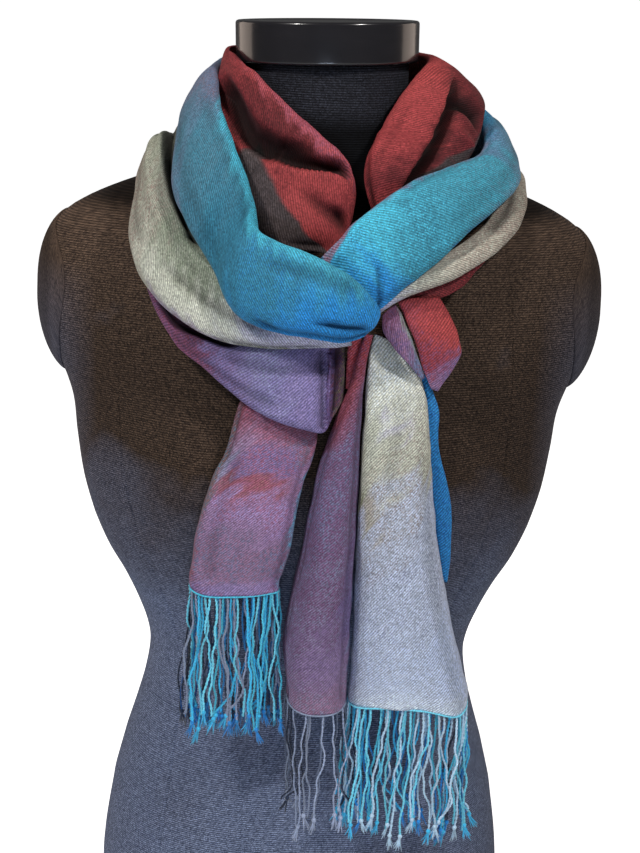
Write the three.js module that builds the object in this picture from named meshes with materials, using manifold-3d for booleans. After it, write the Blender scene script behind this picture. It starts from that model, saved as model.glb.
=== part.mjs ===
// A silk cashmere scarf, wound twice round the neck of a limbless dress form and tied in front.
// Millimetres, +Z up, the form faces -Y. The origin is on the flat base, under the neck's axis.

import * as THREE from 'three';
import { mergeVertices } from 'three/addons/utils/BufferGeometryUtils.js';
import Module from 'manifold-3d';

const wasm = await Module();
wasm.setup();

// ---------- driving dimensions ----------

const CLOTH_WALL = 1.6; // the doubled, gathered cloth
const SEAM_GAP = 0.3; // between pieces that meet
const CUT_GAP = 0.45; // between two stretches of one loop, measured along its middle
const HEM_GAP = 0.5; // between a hem and the top of its fringe
const FRINGE_WALL = 5; // the tufts stand a little proud of the hem

const HEM_HEIGHT = 254; // the two front tails hang to here
const LEFT_HEM_HEIGHT = 331; // the gathered left tail ends higher
const FRINGE_REACH = 98;

const NECK_RADIUS = 54;
const NECK_TOP = 660;
const NECK_TILT = THREE.MathUtils.degToRad(-1.6); // the cap leans a little to one side
const CAP_RADIUS = 60;
const CAP_HEIGHT = 26;
const CAP_EDGE = 2;

const ARM_PLANE = 181; // where the armholes are closed off, at mid height
const ARM_HEIGHT = 500;
const ARM_SET_BACK = 6;
const ARM_TILT = THREE.MathUtils.degToRad(5); // the lower edge of each armhole lies further in
const ARM_CAP = { high: 53, deep: 46, bulge: 11, rim: 3 };

const BUST = { x: 73, z: 398, wide: 40, high: 44, reach: 16 };

// ---------- tables ----------

/** Rows of numbers become objects with the named columns. */
function table(columns, rows) {
  const names = columns.split(' ');
  return rows.map((row) => Object.fromEntries(names.map((name, i) => [name, row[i]])));
}

// The form, ring by ring: half the width, and how far it reaches to the front and to the back.
const FORM_RINGS = table('z half front back', [
  [0, 150, 106, 118],
  [46, 152, 108, 119],
  [80, 151, 107, 117],
  [134, 143, 101, 109],
  [165, 135, 96, 101],
  [191, 127, 91, 94],
  [217, 120, 87, 87],
  [244, 116, 84, 82],
  [262, 118, 84, 82],
  [283, 125, 87, 83],
  [305, 135, 90, 85],
  [326, 147, 92, 87],
  [348, 156, 94, 89],
  [375, 163, 95, 91],
  [405, 167, 94, 93],
  [433, 170, 91, 95],
  [462, 180, 84, 96],
  [490, 190, 76, 95],
  [515, 192, 68, 91],
  [536, 188, 62, 84],
  [550, 181, 59, 77],
  [560, 170, 55, 70],
  [568, 156, 52, 65],
  [575, 140, 49, 60],
  [582, 121, 46, 56],
  [589, 99, 47, 54],
  [597, 77, 50, 53],
  [606, 63, 53, 54],
  [620, 56, 54, 54],
  [645, NECK_RADIUS, NECK_RADIUS, NECK_RADIUS],
  [672, NECK_RADIUS, NECK_RADIUS, NECK_RADIUS],
]);

// Each stretch of cloth runs from row to row. Edge a is its upper, inner or left edge, edge b the
// other one, and belly is how far the cloth arches out between them.
const EDGES = 'ax ay az bx by bz belly';

// The loop that lies on top: out of the knot, up the left side, round the back and down the right.
const UPPER_LOOP = table(EDGES, [
  [37, -112, 517, 30, -109, 507, 2],
  [36, -118, 524, 28, -116, 503, 5],
  [26, -124, 537, 14, -123, 501, 8],
  [12, -124, 547, -3, -124, 503, 10],
  [-6, -119, 554, -20, -121, 504, 11],
  [-24, -112, 559, -37, -118, 508, 12],
  [-39, -104, 566, -52, -113, 517, 13],
  [-41, -94, 578, -64, -104, 538, 13],
  [-47, -84, 595, -76, -93, 560, 13],
  [-57, -71, 615, -89, -77, 584, 12],
  [-67, -51, 636, -95, -56, 606, 10],
  [-71, -25, 650, -96, -26, 621, 7],
  [-71, 5, 657, -91, 5, 629, 6],
  [-63, 44, 660, -84, 52, 616, 9],
  [-40, 72, 662, -55, 88, 605, 14],
  [0, 83, 657, 0, 102, 596, 14],
  [44, 77, 648, 58, 96, 590, 14],
  [82, 52, 639, 102, 62, 589, 12],
  [105, 16, 632, 123, 18, 602, 9],
  [110, -14, 622, 129, -18, 593, 8],
  [101, -36, 609, 122, -42, 583, 8],
  [84, -53, 603, 107, -62, 573, 9],
  [66, -68, 598, 88, -80, 559, 10],
  [51, -81, 592, 70, -92, 543, 10],
  [33, -92, 580, 55, -100, 533, 9],
  [21, -100, 572, 43, -106, 522, 6],
  [12, -103, 561, 32, -108, 514, 5],
  [1, -103, 549, 24, -106, 507, 3],
]);

// The loop below it, which lies on the shoulders.
const LOWER_LOOP = table(EDGES, [
  [20, -103, 504, 22, -100, 494, 2],
  [8, -106, 505, 5, -103, 492, 3],
  [-11, -106, 509, -13, -105, 491, 4],
  [-31, -102, 517, -38, -106, 491, 6],
  [-49, -94, 531, -61, -105, 495, 9],
  [-61, -85, 545, -81, -100, 503, 11],
  [-72, -75, 561, -100, -90, 515, 12],
  [-79, -65, 575, -116, -76, 529, 13],
  [-85, -53, 588, -123, -62, 548, 13],
  [-90, -40, 601, -121, -44, 572, 11],
  [-93, -20, 610, -117, -20, 588, 9],
  [-93, 3, 614, -114, 3, 597, 9],
  [-89, 42, 611, -112, 53, 576, 11],
  [-66, 72, 600, -84, 92, 548, 12],
  [-32, 86, 591, -42, 111, 536, 12],
  [10, 90, 585, 12, 117, 531, 12],
  [52, 82, 580, 64, 110, 532, 12],
  [86, 62, 582, 104, 82, 544, 10],
  [106, 38, 591, 128, 50, 574, 8],
  [117, 8, 594, 136, 6, 586, 5],
  [116, -28, 580, 130, -46, 568, 4],
  [101, -55, 563, 114, -67, 552, 5],
  [84, -70, 553, 95, -81, 541, 5],
  [65, -82, 541, 76, -91, 533, 5],
  [51, -89, 534, 57, -95, 526, 4],
  [37, -93, 522, 41, -97, 516, 3],
  [29, -94, 513, 33, -96, 507, 2],
]);

// The innermost loop stands up round the neck like a shawl collar.
const COLLAR = table(EDGES, [
  [20, -76, 571, 9, -80, 541, 3],
  [21, -74, 586, 1, -80, 547, 5],
  [17, -70, 602, -22, -80, 550, 8],
  [1, -66, 617, -44, -73, 562, 9],
  [-22, -60, 635, -58, -60, 594, 8],
  [-41, -48, 651, -61, -41, 624, 6],
  [-54, -33, 660, -65, -23, 641, 4],
  [-65, 0, 667, -67, 2, 646, 3],
  [-49, 45, 668, -57, 52, 634, 4],
  [-19, 64, 668, -22, 72, 628, 5],
  [21, 64, 668, 24, 72, 628, 5],
  [51, 44, 667, 60, 50, 636, 5],
  [66, 0, 665, 98.5, 2, 639.3, 6],
  [58, -31, 656, 99.4, -18.3, 632, 10],
  [46, -46, 641, 91.5, -30.4, 612, 12],
  [36, -58, 624, 79.4, -44.5, 598, 12],
  [28, -66, 608, 66.3, -56.5, 586, 10],
  [26, -69, 593, 55, -64, 576, 7],
  [30, -71, 578, 48, -69, 569, 4],
  [36, -70, 563, 48, -68, 558, 3],
]);

// A fold of the inner layer shows below the lower loop on the right.
const RIGHT_INNER = table(EDGES, [
  [113, -49, 566, 116, -54, 556, 2],
  [99, -62.3, 556.5, 105, -66.4, 544, 3],
  [83, -72.4, 546.6, 91, -76.6, 529, 3],
  [67, -80.4, 537.6, 75, -85.8, 522, 3],
  [50, -86.4, 528.6, 54, -90, 518, 2],
]);

// The turn that passes across the front, under both loops, and closes the knot.
const CROSS_WRAP = table(EDGES, [
  [-106, -62, 530, -110, -68, 518, 3],
  [-99, -70, 519, -101, -79, 503, 5],
  [-87, -78, 509, -88, -90, 486, 7],
  [-71, -85, 501, -72, -98, 476, 8],
  [-55, -90, 496, -57, -105, 465, 9],
  [-39, -93, 494, -40, -110, 454, 9],
  [-23, -96, 495, -21, -114, 446, 8],
  [-9, -97, 495, -4, -116, 442, 7],
  [1, -95, 495, 4, -114, 440, 6],
  [7, -93, 495, 8, -109, 441, 4],
  [12, -93, 495, 12, -108, 449, 4],
  [17.4, -92, 494, 17.9, -103, 458, 3],
]);

const KNOT_CORE = table(EDGES, [
  [19.6, -97.2, 498, 28, -97, 498, 1],
  [19.4, -99.4, 482, 27, -100.6, 482, 2],
  [19.4, -101, 466, 24, -102, 466, 1],
]);

// The end that comes out of the knot on the right folds over into two leaves.
const OUTER_LEAF = table(EDGES, [
  [49, -91, 522, 76, -88, 523, 3],
  [53, -97, 515, 83, -92, 513, 4],
  [58, -102, 505, 88, -96, 502, 5],
  [63, -105, 493, 91, -99, 491, 5],
  [67, -106, 481, 85, -101, 480, 4],
  [73, -105, 469, 77, -103, 467, 2],
]);

const INNER_LEAF = table(EDGES, [
  [40, -98, 513, 48.2, -91, 519, 2],
  [41, -104, 504, 52.2, -98, 514, 3],
  [48, -108, 495, 57.2, -103, 504, 3],
  [58, -109, 485, 62.2, -106, 492, 2],
  [66, -108, 475, 68.2, -107, 477, 1],
]);

const LEFT_TAIL = table(EDGES, [
  [-38, -97, 474, 7, -96, 465, 5],
  [-48, -101, 454, 3, -99, 437, 7.3],
  [-55, -108, 427, 0, -103, 420, 10],
  [-63, -111, 408, -5, -106, 405, 12],
  [-69, -113, 387, -9, -108, 386, 13],
  [-74, -113, 365, -12, -108, 364, 13],
  [-76, -113, 347, -16, -108, 346, 13],
  [-77, -113, LEFT_HEM_HEIGHT + 7, -19, -108, LEFT_HEM_HEIGHT + 7, 13],
  [-77, -113, LEFT_HEM_HEIGHT, -19, -108, LEFT_HEM_HEIGHT, 13],
]);

// A round pleat that stands well forward, with the valley of the next pleat behind its right edge.
const MIDDLE_TAIL = table(EDGES, [
  [30, -101, 502, 35, -100, 501, 2],
  [25, -104, 486, 31.5, -103, 485, 4],
  [21, -105, 467, 30.4, -104, 466, 7],
  [13, -106, 444, 30, -104, 443, 12],
  [5, -106, 416, 29.8, -104, 415, 19],
  [-1, -106, 384, 29.6, -104, 383, 26],
  [-5, -106, 356, 29.2, -104, 355, 30],
  [-11, -106, 324, 29, -104, 323, 32],
  [-15, -106, 295, 28.8, -104, 294, 32],
  [-14, -106, 275, 28.4, -104, 275, 32],
  [-12, -106, HEM_HEIGHT + 9, 28, -104, HEM_HEIGHT + 9, 32],
  [-12, -106, HEM_HEIGHT, 28, -104, HEM_HEIGHT, 32],
]);

const RIGHT_TAIL = table(EDGES, [
  [36, -94, 500, 46, -92, 496, 2],
  [33, -98, 483, 62, -96, 480, 4],
  [32, -102, 461, 70, -101, 463, 8],
  [31.4, -104, 434, 74, -107, 435, 13],
  [31, -104, 403, 77, -110, 408, 18],
  [30.8, -104, 371, 81, -110, 378, 22],
  [30.8, -104, 336, 88, -110, 342, 24],
  [30.8, -104, 300, 96, -109, 309, 25],
  [30.6, -104, 276, 104, -108, 279, 25],
  [30, -104, HEM_HEIGHT + 9, 109, -108, HEM_HEIGHT + 9, 25],
  [30, -104, HEM_HEIGHT, 109, -108, HEM_HEIGHT, 25],
]);

// The hidden layer of the right tail shows past its edge.
const TAIL_EDGE = table(EDGES, [
  [60, -95, 478, 70, -97, 476, 1],
  [65, -98, 466, 76, -99, 462, 2],
  [68, -101, 455, 79, -101, 452, 2],
  [71, -104, 431, 80, -104, 430, 2],
  [75, -105, 405, 87, -105, 406, 2],
  [79, -106, 385, 91, -106, 386, 2],
  [83, -106, 360, 92, -106, 357, 2],
  [87, -105, 339, 91, -105, 338, 1],
]);

// Folds: a soft trough (depth above 0) or ridge (below 0) from one row and place across the cloth
// (0 at edge a, 1 at edge b) to another, as wide to each side as spread says.
const FOLD = 'fromRow fromAcross toRow toAcross spread depth';

const UPPER_FOLDS = table(FOLD, [
  [0.2, 0.75, 5, 0.9, 3.5, 4],
  [1, 0.35, 6.5, 0.45, 5, 2.5],
  [5, 0.2, 11, 0.3, 4, 2.5],
  [6, 0.7, 12, 0.62, 6, 3],
  [11.5, 0.38, 18, 0.45, 6, 5],
  [12, 0.7, 17, 0.78, 5, 4],
  [17, 0.55, 24, 0.6, 5, 3],
  [22, 0.2, 27, 0.3, 4, 3],
]);

const LOWER_FOLDS = table(FOLD, [
  [3, 0.35, 9, 0.3, 5, 4],
  [4.5, 0.62, 9, 0.6, 5, 2.5],
  [9.5, 0.5, 16, 0.42, 6, 5],
  [11, 0.78, 18, 0.68, 6, 4],
]);

const COLLAR_FOLDS = table(FOLD, [
  [0.5, 0.42, 6, 0.38, 6, 7],
  [2, 0.7, 5.5, 0.72, 4, -3],
  [6, 0.5, 12, 0.5, 5, 3],
  [11.5, 0.66, 16.5, 0.6, 6, 9],
  [13, 0.25, 18, 0.3, 4, 2],
]);

const CROSS_FOLDS = table(FOLD, [
  [3, 0.55, 9, 0.3, 4, 3],
  [8, 0.6, 10.5, 0.6, 2.5, 3],
]);

const LEFT_TAIL_FOLDS = table(FOLD, [
  [0.5, 0.6, 9, 0.72, 5, 3.5],
  [1, 0.3, 6, 0.34, 5, 2.5],
]);

const MIDDLE_TAIL_FOLDS = table(FOLD, [
  [2, 0.7, 12, 0.66, 4, 2.5],
]);

const RIGHT_TAIL_FOLDS = table(FOLD, [
  [0.5, 0.5, 6, 0.42, 6, 3],
  [3, 0.75, 12, 0.8, 6, 3],
]);

// ---------- cloth ----------

/** A smooth curve through four values, from the second to the third. */
function blend(p0, p1, p2, p3, s) {
  const bend = 2 * p0 - 5 * p1 + 4 * p2 - p3;
  const twist = 3 * (p1 - p2) + p3 - p0;
  return p1 + 0.5 * s * (p2 - p0 + s * (bend + s * twist));
}

/** The table's values at a fractional row. */
function rowAt(rows, at) {
  const last = rows.length - 1;
  const i = Math.min(Math.max(Math.floor(at), 0), last - 1);
  const pick = (k) => rows[Math.min(Math.max(k, 0), last)];
  const entries = Object.keys(rows[0]).map((name) => [
    name,
    blend(pick(i - 1)[name], pick(i)[name], pick(i + 1)[name], pick(i + 2)[name], at - i),
  ]);
  return Object.fromEntries(entries);
}

const edgeA = (row) => new THREE.Vector3(row.ax, row.ay, row.az);
const edgeB = (row) => new THREE.Vector3(row.bx, row.by, row.bz);
const middle = (row) => edgeA(row).add(edgeB(row)).multiplyScalar(0.5);

/** The run of the cloth across its section at a row, not yet turned to face out. */
function sectionNormal(rows, at) {
  const step = 0.25;
  const run = middle(rowAt(rows, at + step)).sub(middle(rowAt(rows, at - step)));
  const row = rowAt(rows, at);
  return run.cross(edgeB(row).sub(edgeA(row))).normalize();
}

/** 1 or -1: the sign that turns a table's normals away from the form. */
function handOf(rows) {
  const at = (rows.length - 1) / 2;
  const centre = middle(rowAt(rows, at));
  const away = new THREE.Vector3(centre.x, centre.y, NECK_RADIUS);
  return Math.sign(sectionNormal(rows, at).dot(away));
}

/** How far the folds push the cloth in at a row and a place across it. */
function foldDepth(folds, at, across, width) {
  const fadeRows = 1;
  let depth = 0;
  for (const fold of folds) {
    const from = Math.min(Math.max((at - fold.fromRow) / fadeRows, 0), 1);
    const to = Math.min(Math.max((fold.toRow - at) / fadeRows, 0), 1);
    const fade = from * from * (3 - 2 * from) * to * to * (3 - 2 * to);
    const along = (at - fold.fromRow) / (fold.toRow - fold.fromRow);
    const line = fold.fromAcross + along * (fold.toAcross - fold.fromAcross);
    const off = ((across - line) * width) / fold.spread;
    depth += fold.depth * fade * Math.exp(-off * off);
  }
  return depth;
}

/** A point of the cloth's outer face; across runs from 0 at edge a to 1 at edge b. */
function clothPoint(cloth, at, across) {
  const row = rowAt(cloth.rows, at);
  const angle = Math.PI * (across * (1 + 2 * cloth.tuck) - cloth.tuck);
  const cosine = Math.cos(angle);
  const sine = Math.sin(angle);
  const share = 0.5 - 0.5 * Math.sign(cosine) * Math.abs(cosine) ** cloth.fullness;
  const arch = Math.sign(sine) * Math.abs(sine) ** cloth.fullness;
  const a = edgeA(row);
  const b = edgeB(row);
  const raised = Math.sqrt(Math.max(arch, 0));
  const inward = foldDepth(cloth.folds, at, share, a.distanceTo(b)) * raised;
  const out = sectionNormal(cloth.rows, at).multiplyScalar(cloth.hand);
  return a.lerp(b, share).addScaledVector(out, row.belly * arch - inward);
}

/** The outward normal of the cloth's outer face at a point. */
function clothNormal(cloth, at, across) {
  const rowStep = 0.04;
  const acrossStep = 0.03;
  const ahead = clothPoint(cloth, at + rowStep, across);
  const run = ahead.sub(clothPoint(cloth, at - rowStep, across));
  const low = Math.max(across - acrossStep, 0);
  const high = Math.min(across + acrossStep, 1);
  const side = clothPoint(cloth, at, high).sub(clothPoint(cloth, at, low));
  return run.cross(side).normalize().multiplyScalar(cloth.hand);
}

/** Two grids of points, an outer and an inner one, closed along their borders. */
function closedShell(outer, inner) {
  const rows = outer.length;
  const columns = outer[0].length;
  const points = [...outer.flat(), ...inner.flat()];
  const index = (layer, i, j) => layer * rows * columns + i * columns + j;
  const faces = [];
  const quad = (a, b, c, d) => faces.push(a, b, c, a, c, d);
  for (let i = 0; i < rows - 1; i += 1) {
    for (let j = 0; j < columns - 1; j += 1) {
      quad(index(0, i, j), index(0, i + 1, j), index(0, i + 1, j + 1), index(0, i, j + 1));
      quad(index(1, i, j), index(1, i, j + 1), index(1, i + 1, j + 1), index(1, i + 1, j));
    }
    const last = columns - 1;
    quad(index(1, i, 0), index(1, i + 1, 0), index(0, i + 1, 0), index(0, i, 0));
    quad(index(0, i, last), index(0, i + 1, last), index(1, i + 1, last), index(1, i, last));
  }
  for (let j = 0; j < columns - 1; j += 1) {
    const end = rows - 1;
    quad(index(0, 0, j), index(0, 0, j + 1), index(1, 0, j + 1), index(1, 0, j));
    quad(index(1, end, j), index(1, end, j + 1), index(0, end, j + 1), index(0, end, j));
  }
  return { points, faces };
}

/** Signed volume, to turn the faces out. */
function signedVolume({ points, faces }) {
  let volume = 0;
  for (let f = 0; f < faces.length; f += 3) {
    const [a, b, c] = [points[faces[f]], points[faces[f + 1]], points[faces[f + 2]]];
    volume += a.dot(b.clone().cross(c)) / 6;
  }
  return volume;
}

function geometryOf(solid) {
  if (signedVolume(solid) < 0) {
    solid.faces.reverse();
  }
  const geometry = new THREE.BufferGeometry();
  const positions = solid.points.flatMap((p) => [p.x, p.y, p.z]);
  geometry.setAttribute('position', new THREE.Float32BufferAttribute(positions, 3));
  geometry.setIndex(solid.faces);
  geometry.computeVertexNormals();
  return geometry;
}

/**
 * One stretch of cloth, from one row of its table to another. A low fullness squares the arch's
 * shoulders, and tuck is the share of a half turn by which each edge curls under.
 */
function clothGeometry({ rows, folds = [], from = 0, to = rows.length - 1, steps, columns,
  wall = CLOTH_WALL, fullness = 0.85, tuck = 0 }) {
  const cloth = { rows, folds, fullness, tuck, hand: handOf(rows) };
  const outer = [];
  const inner = [];
  for (let i = 0; i < steps; i += 1) {
    const at = from + ((to - from) * i) / (steps - 1);
    outer.push([]);
    inner.push([]);
    for (let j = 0; j < columns; j += 1) {
      const across = j / (columns - 1);
      const point = clothPoint(cloth, at, across);
      outer[i].push(point);
      inner[i].push(point.clone().addScaledVector(clothNormal(cloth, at, across), -wall));
    }
  }
  return geometryOf(closedShell(outer, inner));
}

function named(name, geometry, finish) {
  const mesh = new THREE.Mesh(geometry, new THREE.MeshStandardMaterial(finish));
  mesh.name = name;
  return mesh;
}

function clothMesh(name, colour, options) {
  return named(name, clothGeometry(options), { color: colour, roughness: 0.85, metalness: 0 });
}

/** The rows between which a stretch lies, drawn in by half the seam's gap at each cut end. */
function cutBetween(rows, from, to) {
  const half = (at) => {
    const reach = middle(rowAt(rows, at + 0.5)).distanceTo(middle(rowAt(rows, at - 0.5)));
    return CUT_GAP / 2 / reach;
  };
  const last = rows.length - 1;
  return { from: from > 0 ? from + half(from) : from, to: to < last ? to - half(to) : to };
}

/** A closed loop's stretches, one mesh for each that shows. */
function loopMeshes(shape, stretches) {
  return stretches.map(({ name, colour, from, to, steps }) => {
    const ends = cutBetween(shape.rows, from, to);
    return clothMesh(name, colour, { ...shape, steps, ...ends });
  });
}

/** Tufts that go on from a hem: its last section, drawn out to the fringe's reach. */
function fringeMesh(name, colour, tail, reach) {
  const hem = tail[tail.length - 1];
  const top = { ...hem, az: hem.az - HEM_GAP, bz: hem.bz - HEM_GAP };
  const tips = { ...hem, az: hem.az - reach, bz: hem.bz - reach };
  const options = { rows: [top, tips], steps: 2, columns: 9, wall: FRINGE_WALL };
  return clothMesh(name, colour, options);
}

// ---------- the dress form ----------

const FORM_SIDES = 40;
const FORM_FULLNESS = 0.86;

/** How far the bust stands forward of its ring at a place. */
function bustReach(x, z) {
  const mound = (side) => {
    const wide = (x - side * BUST.x) / BUST.wide;
    const high = (z - BUST.z) / BUST.high;
    return BUST.reach * Math.exp(-wide * wide - high * high);
  };
  return mound(-1) + mound(1);
}

function formRing(ring) {
  const points = [];
  for (let k = 0; k < FORM_SIDES; k += 1) {
    const angle = (2 * Math.PI * k) / FORM_SIDES;
    const [c, s] = [Math.cos(angle), Math.sin(angle)];
    const round = ring.half > NECK_RADIUS + 4 ? FORM_FULLNESS : 1;
    const x = ring.half * Math.sign(c) * Math.abs(c) ** round;
    const deep = s < 0 ? ring.front : ring.back;
    const y = deep * Math.sign(s) * Math.abs(s) ** round;
    const forward = s < 0 ? bustReach(x, ring.z) * Math.abs(s) ** 0.5 : 0;
    points.push(new THREE.Vector3(x, y - forward, ring.z));
  }
  return points;
}

/** The rings joined by walls, with a flat cap on each end. */
function ringedGeometry(rings) {
  const points = rings.flat();
  const faces = [];
  for (let i = 0; i < rings.length - 1; i += 1) {
    for (let k = 0; k < FORM_SIDES; k += 1) {
      const [a, b] = [i * FORM_SIDES + k, i * FORM_SIDES + ((k + 1) % FORM_SIDES)];
      faces.push(a, b, b + FORM_SIDES, a, b + FORM_SIDES, a + FORM_SIDES);
    }
  }
  const top = (rings.length - 1) * FORM_SIDES;
  for (let k = 1; k < FORM_SIDES - 1; k += 1) {
    faces.push(0, k + 1, k);
    faces.push(top, top + k, top + k + 1);
  }
  return geometryOf({ points, faces });
}

function manifoldOf(geometry) {
  const bare = geometry.clone();
  bare.deleteAttribute('normal');
  bare.deleteAttribute('uv');
  const merged = mergeVertices(bare, 1e-3);
  const vertProperties = merged.getAttribute('position').array;
  const triVerts = new Uint32Array(merged.getIndex().array);
  return new wasm.Manifold(new wasm.Mesh({ numProp: 3, vertProperties, triVerts }));
}

function geometryFrom(manifold) {
  const mesh = manifold.getMesh();
  const geometry = new THREE.BufferGeometry();
  const positions = new THREE.Float32BufferAttribute(mesh.vertProperties, 3);
  geometry.setAttribute('position', positions);
  geometry.setIndex([...mesh.triVerts]);
  geometry.computeVertexNormals();
  return geometry;
}

/** The block that is cut away beyond one armhole; side is -1 or 1. */
function armholeBlock(side) {
  const block = new THREE.BoxGeometry(80, 300, 240);
  block.translate(40 * side, 0, 0);
  block.rotateY(side * ARM_TILT);
  return block.translate(ARM_PLANE * side, 0, ARM_HEIGHT);
}

/** The block that is cut away above the neck. */
function neckBlock() {
  const block = new THREE.BoxGeometry(200, 200, 60);
  block.translate(0, 0, 30);
  block.rotateY(NECK_TILT);
  return block.translate(0, 0, NECK_TOP);
}

function torsoMesh() {
  const blocks = [armholeBlock(-1), armholeBlock(1), neckBlock()];
  const whole = manifoldOf(ringedGeometry(FORM_RINGS.map(formRing)));
  const cut = blocks.reduce((solid, block) => solid.subtract(manifoldOf(block)), whole);
  return named('form_torso', geometryFrom(cut), { color: 0x35302f, roughness: 0.8, metalness: 0 });
}

/** The shallow dome that closes an armhole: an elliptical disc with a rounded outer face. */
function armCapMesh(name, side) {
  const profile = [new THREE.Vector2(0, 0), new THREE.Vector2(1, 0)];
  const steps = 7;
  for (let i = 0; i <= steps; i += 1) {
    const angle = (Math.PI / 2) * (i / steps);
    const height = ARM_CAP.rim + ARM_CAP.bulge * Math.sin(angle);
    profile.push(new THREE.Vector2(i === steps ? 0 : Math.cos(angle), height));
  }
  const dome = new THREE.LatheGeometry(profile, 28);
  dome.scale(ARM_CAP.high, 1, ARM_CAP.deep);
  dome.rotateZ(-side * Math.PI / 2);
  dome.translate(side * SEAM_GAP, 0, 0);
  dome.rotateY(side * ARM_TILT);
  const mesh = named(name, dome, { color: 0x2b2725, roughness: 0.7, metalness: 0 });
  mesh.position.set(ARM_PLANE * side, ARM_SET_BACK, ARM_HEIGHT);
  return mesh;
}

function neckCapMesh() {
  const inner = CAP_RADIUS - CAP_EDGE;
  const profile = [
    new THREE.Vector2(0, 0),
    new THREE.Vector2(inner, 0),
    new THREE.Vector2(CAP_RADIUS, CAP_EDGE),
    new THREE.Vector2(CAP_RADIUS, CAP_HEIGHT - CAP_EDGE),
    new THREE.Vector2(inner, CAP_HEIGHT),
    new THREE.Vector2(0, CAP_HEIGHT),
  ];
  const disc = new THREE.LatheGeometry(profile, 56);
  disc.rotateX(Math.PI / 2);
  disc.translate(0, 0, SEAM_GAP);
  const mesh = named('form_neck_cap', disc, { color: 0x0c0b0b, roughness: 0.2, metalness: 0 });
  mesh.position.set(0, 0, NECK_TOP);
  mesh.rotation.y = NECK_TILT;
  return mesh;
}

// ---------- the scarf ----------

const TEAL = 0x2f8fae;
const SAGE = 0x8b9182;
const CRIMSON = 0x7c3438;
const MAUVE = 0x6f5f8c;
const PLUM = 0x6f4b66;
const DUSTY_ROSE = 0x85607f;
const SILVER_LILAC = 0x9aa0b0;
const AZURE = 0x1e86c8;
const FRINGE_CYAN = 0x3fb5d2;
const FRINGE_GREY = 0x8791a5;

function loopsOfScarf() {
  const collar = { rows: COLLAR, folds: COLLAR_FOLDS, columns: 12, tuck: 0.06 };
  const upper = { rows: UPPER_LOOP, folds: UPPER_FOLDS, columns: 12, tuck: 0.11 };
  const lower = { rows: LOWER_LOOP, folds: LOWER_FOLDS, columns: 11, tuck: 0.08 };
  return [
    ...loopMeshes(collar, [
      { name: 'scarf_collar_left', colour: CRIMSON, from: 0, to: 7.5, steps: 14 },
      { name: 'scarf_collar_back', colour: CRIMSON, from: 7.5, to: 11.5, steps: 9 },
      { name: 'scarf_collar_right', colour: CRIMSON, from: 11.5, to: 19, steps: 14 },
    ]),
    ...loopMeshes(upper, [
      { name: 'scarf_upper_left', colour: TEAL, from: 0, to: 12.5, steps: 21 },
      { name: 'scarf_upper_back', colour: TEAL, from: 12.5, to: 17.5, steps: 11 },
      { name: 'scarf_upper_right', colour: TEAL, from: 17.5, to: 27, steps: 16 },
    ]),
    ...loopMeshes(lower, [
      { name: 'scarf_lower_left', colour: SAGE, from: 0, to: 11.5, steps: 20 },
      { name: 'scarf_lower_back', colour: SAGE, from: 11.5, to: 17.5, steps: 11 },
      { name: 'scarf_lower_right', colour: SAGE, from: 17.5, to: 26, steps: 14 },
    ]),
    clothMesh('scarf_right_inner', CRIMSON, { rows: RIGHT_INNER, steps: 8, columns: 7 }),
  ];
}

function knotOfScarf() {
  const wrap = { rows: CROSS_WRAP, folds: CROSS_FOLDS, steps: 16, columns: 10, tuck: 0.08 };
  return [
    clothMesh('scarf_cross_wrap', MAUVE, wrap),
    clothMesh('scarf_knot_core', CRIMSON, { rows: KNOT_CORE, steps: 4, columns: 5 }),
    clothMesh('scarf_outer_leaf', CRIMSON, { rows: OUTER_LEAF, steps: 10, columns: 8 }),
    clothMesh('scarf_inner_leaf', MAUVE, { rows: INNER_LEAF, steps: 8, columns: 6 }),
  ];
}

function tailsOfScarf() {
  const left = { rows: LEFT_TAIL, folds: LEFT_TAIL_FOLDS, steps: 12, columns: 12, fullness: 0.6 };
  const mid = { rows: MIDDLE_TAIL, folds: MIDDLE_TAIL_FOLDS, steps: 16, columns: 12 };
  const right = { rows: RIGHT_TAIL, folds: RIGHT_TAIL_FOLDS, steps: 16, columns: 12, fullness: 0.6 };
  return [
    clothMesh('scarf_tail_left', DUSTY_ROSE, left),
    clothMesh('scarf_tail_middle', PLUM, mid),
    clothMesh('scarf_tail_right', SILVER_LILAC, right),
    clothMesh('scarf_tail_edge', AZURE, { rows: TAIL_EDGE, steps: 10, columns: 5 }),
    fringeMesh('scarf_fringe_left', FRINGE_CYAN, LEFT_TAIL, FRINGE_REACH + 6),
    fringeMesh('scarf_fringe_middle', FRINGE_GREY, MIDDLE_TAIL, FRINGE_REACH - 12),
    fringeMesh('scarf_fringe_right', FRINGE_CYAN, RIGHT_TAIL, FRINGE_REACH),
  ];
}

const scarfOnForm = new THREE.Group();
scarfOnForm.add(torsoMesh(), neckCapMesh());
scarfOnForm.add(armCapMesh('form_arm_cap_left', -1), armCapMesh('form_arm_cap_right', 1));
scarfOnForm.add(...loopsOfScarf(), ...knotOfScarf(), ...tailsOfScarf());

export default scarfOnForm;
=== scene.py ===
"""A silk cashmere scarf wound round the neck of a limbless dress form and tied in front.

Metres, +Z up, the form faces -Y. The tables are in millimetres, in the same frame as the part's
solids, and each stretch of cloth is a finer shell on its solid's form.
"""

import math
import random
from functools import partial, reduce

import bpy
import numpy as np
from mathutils import Matrix, Vector


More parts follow.
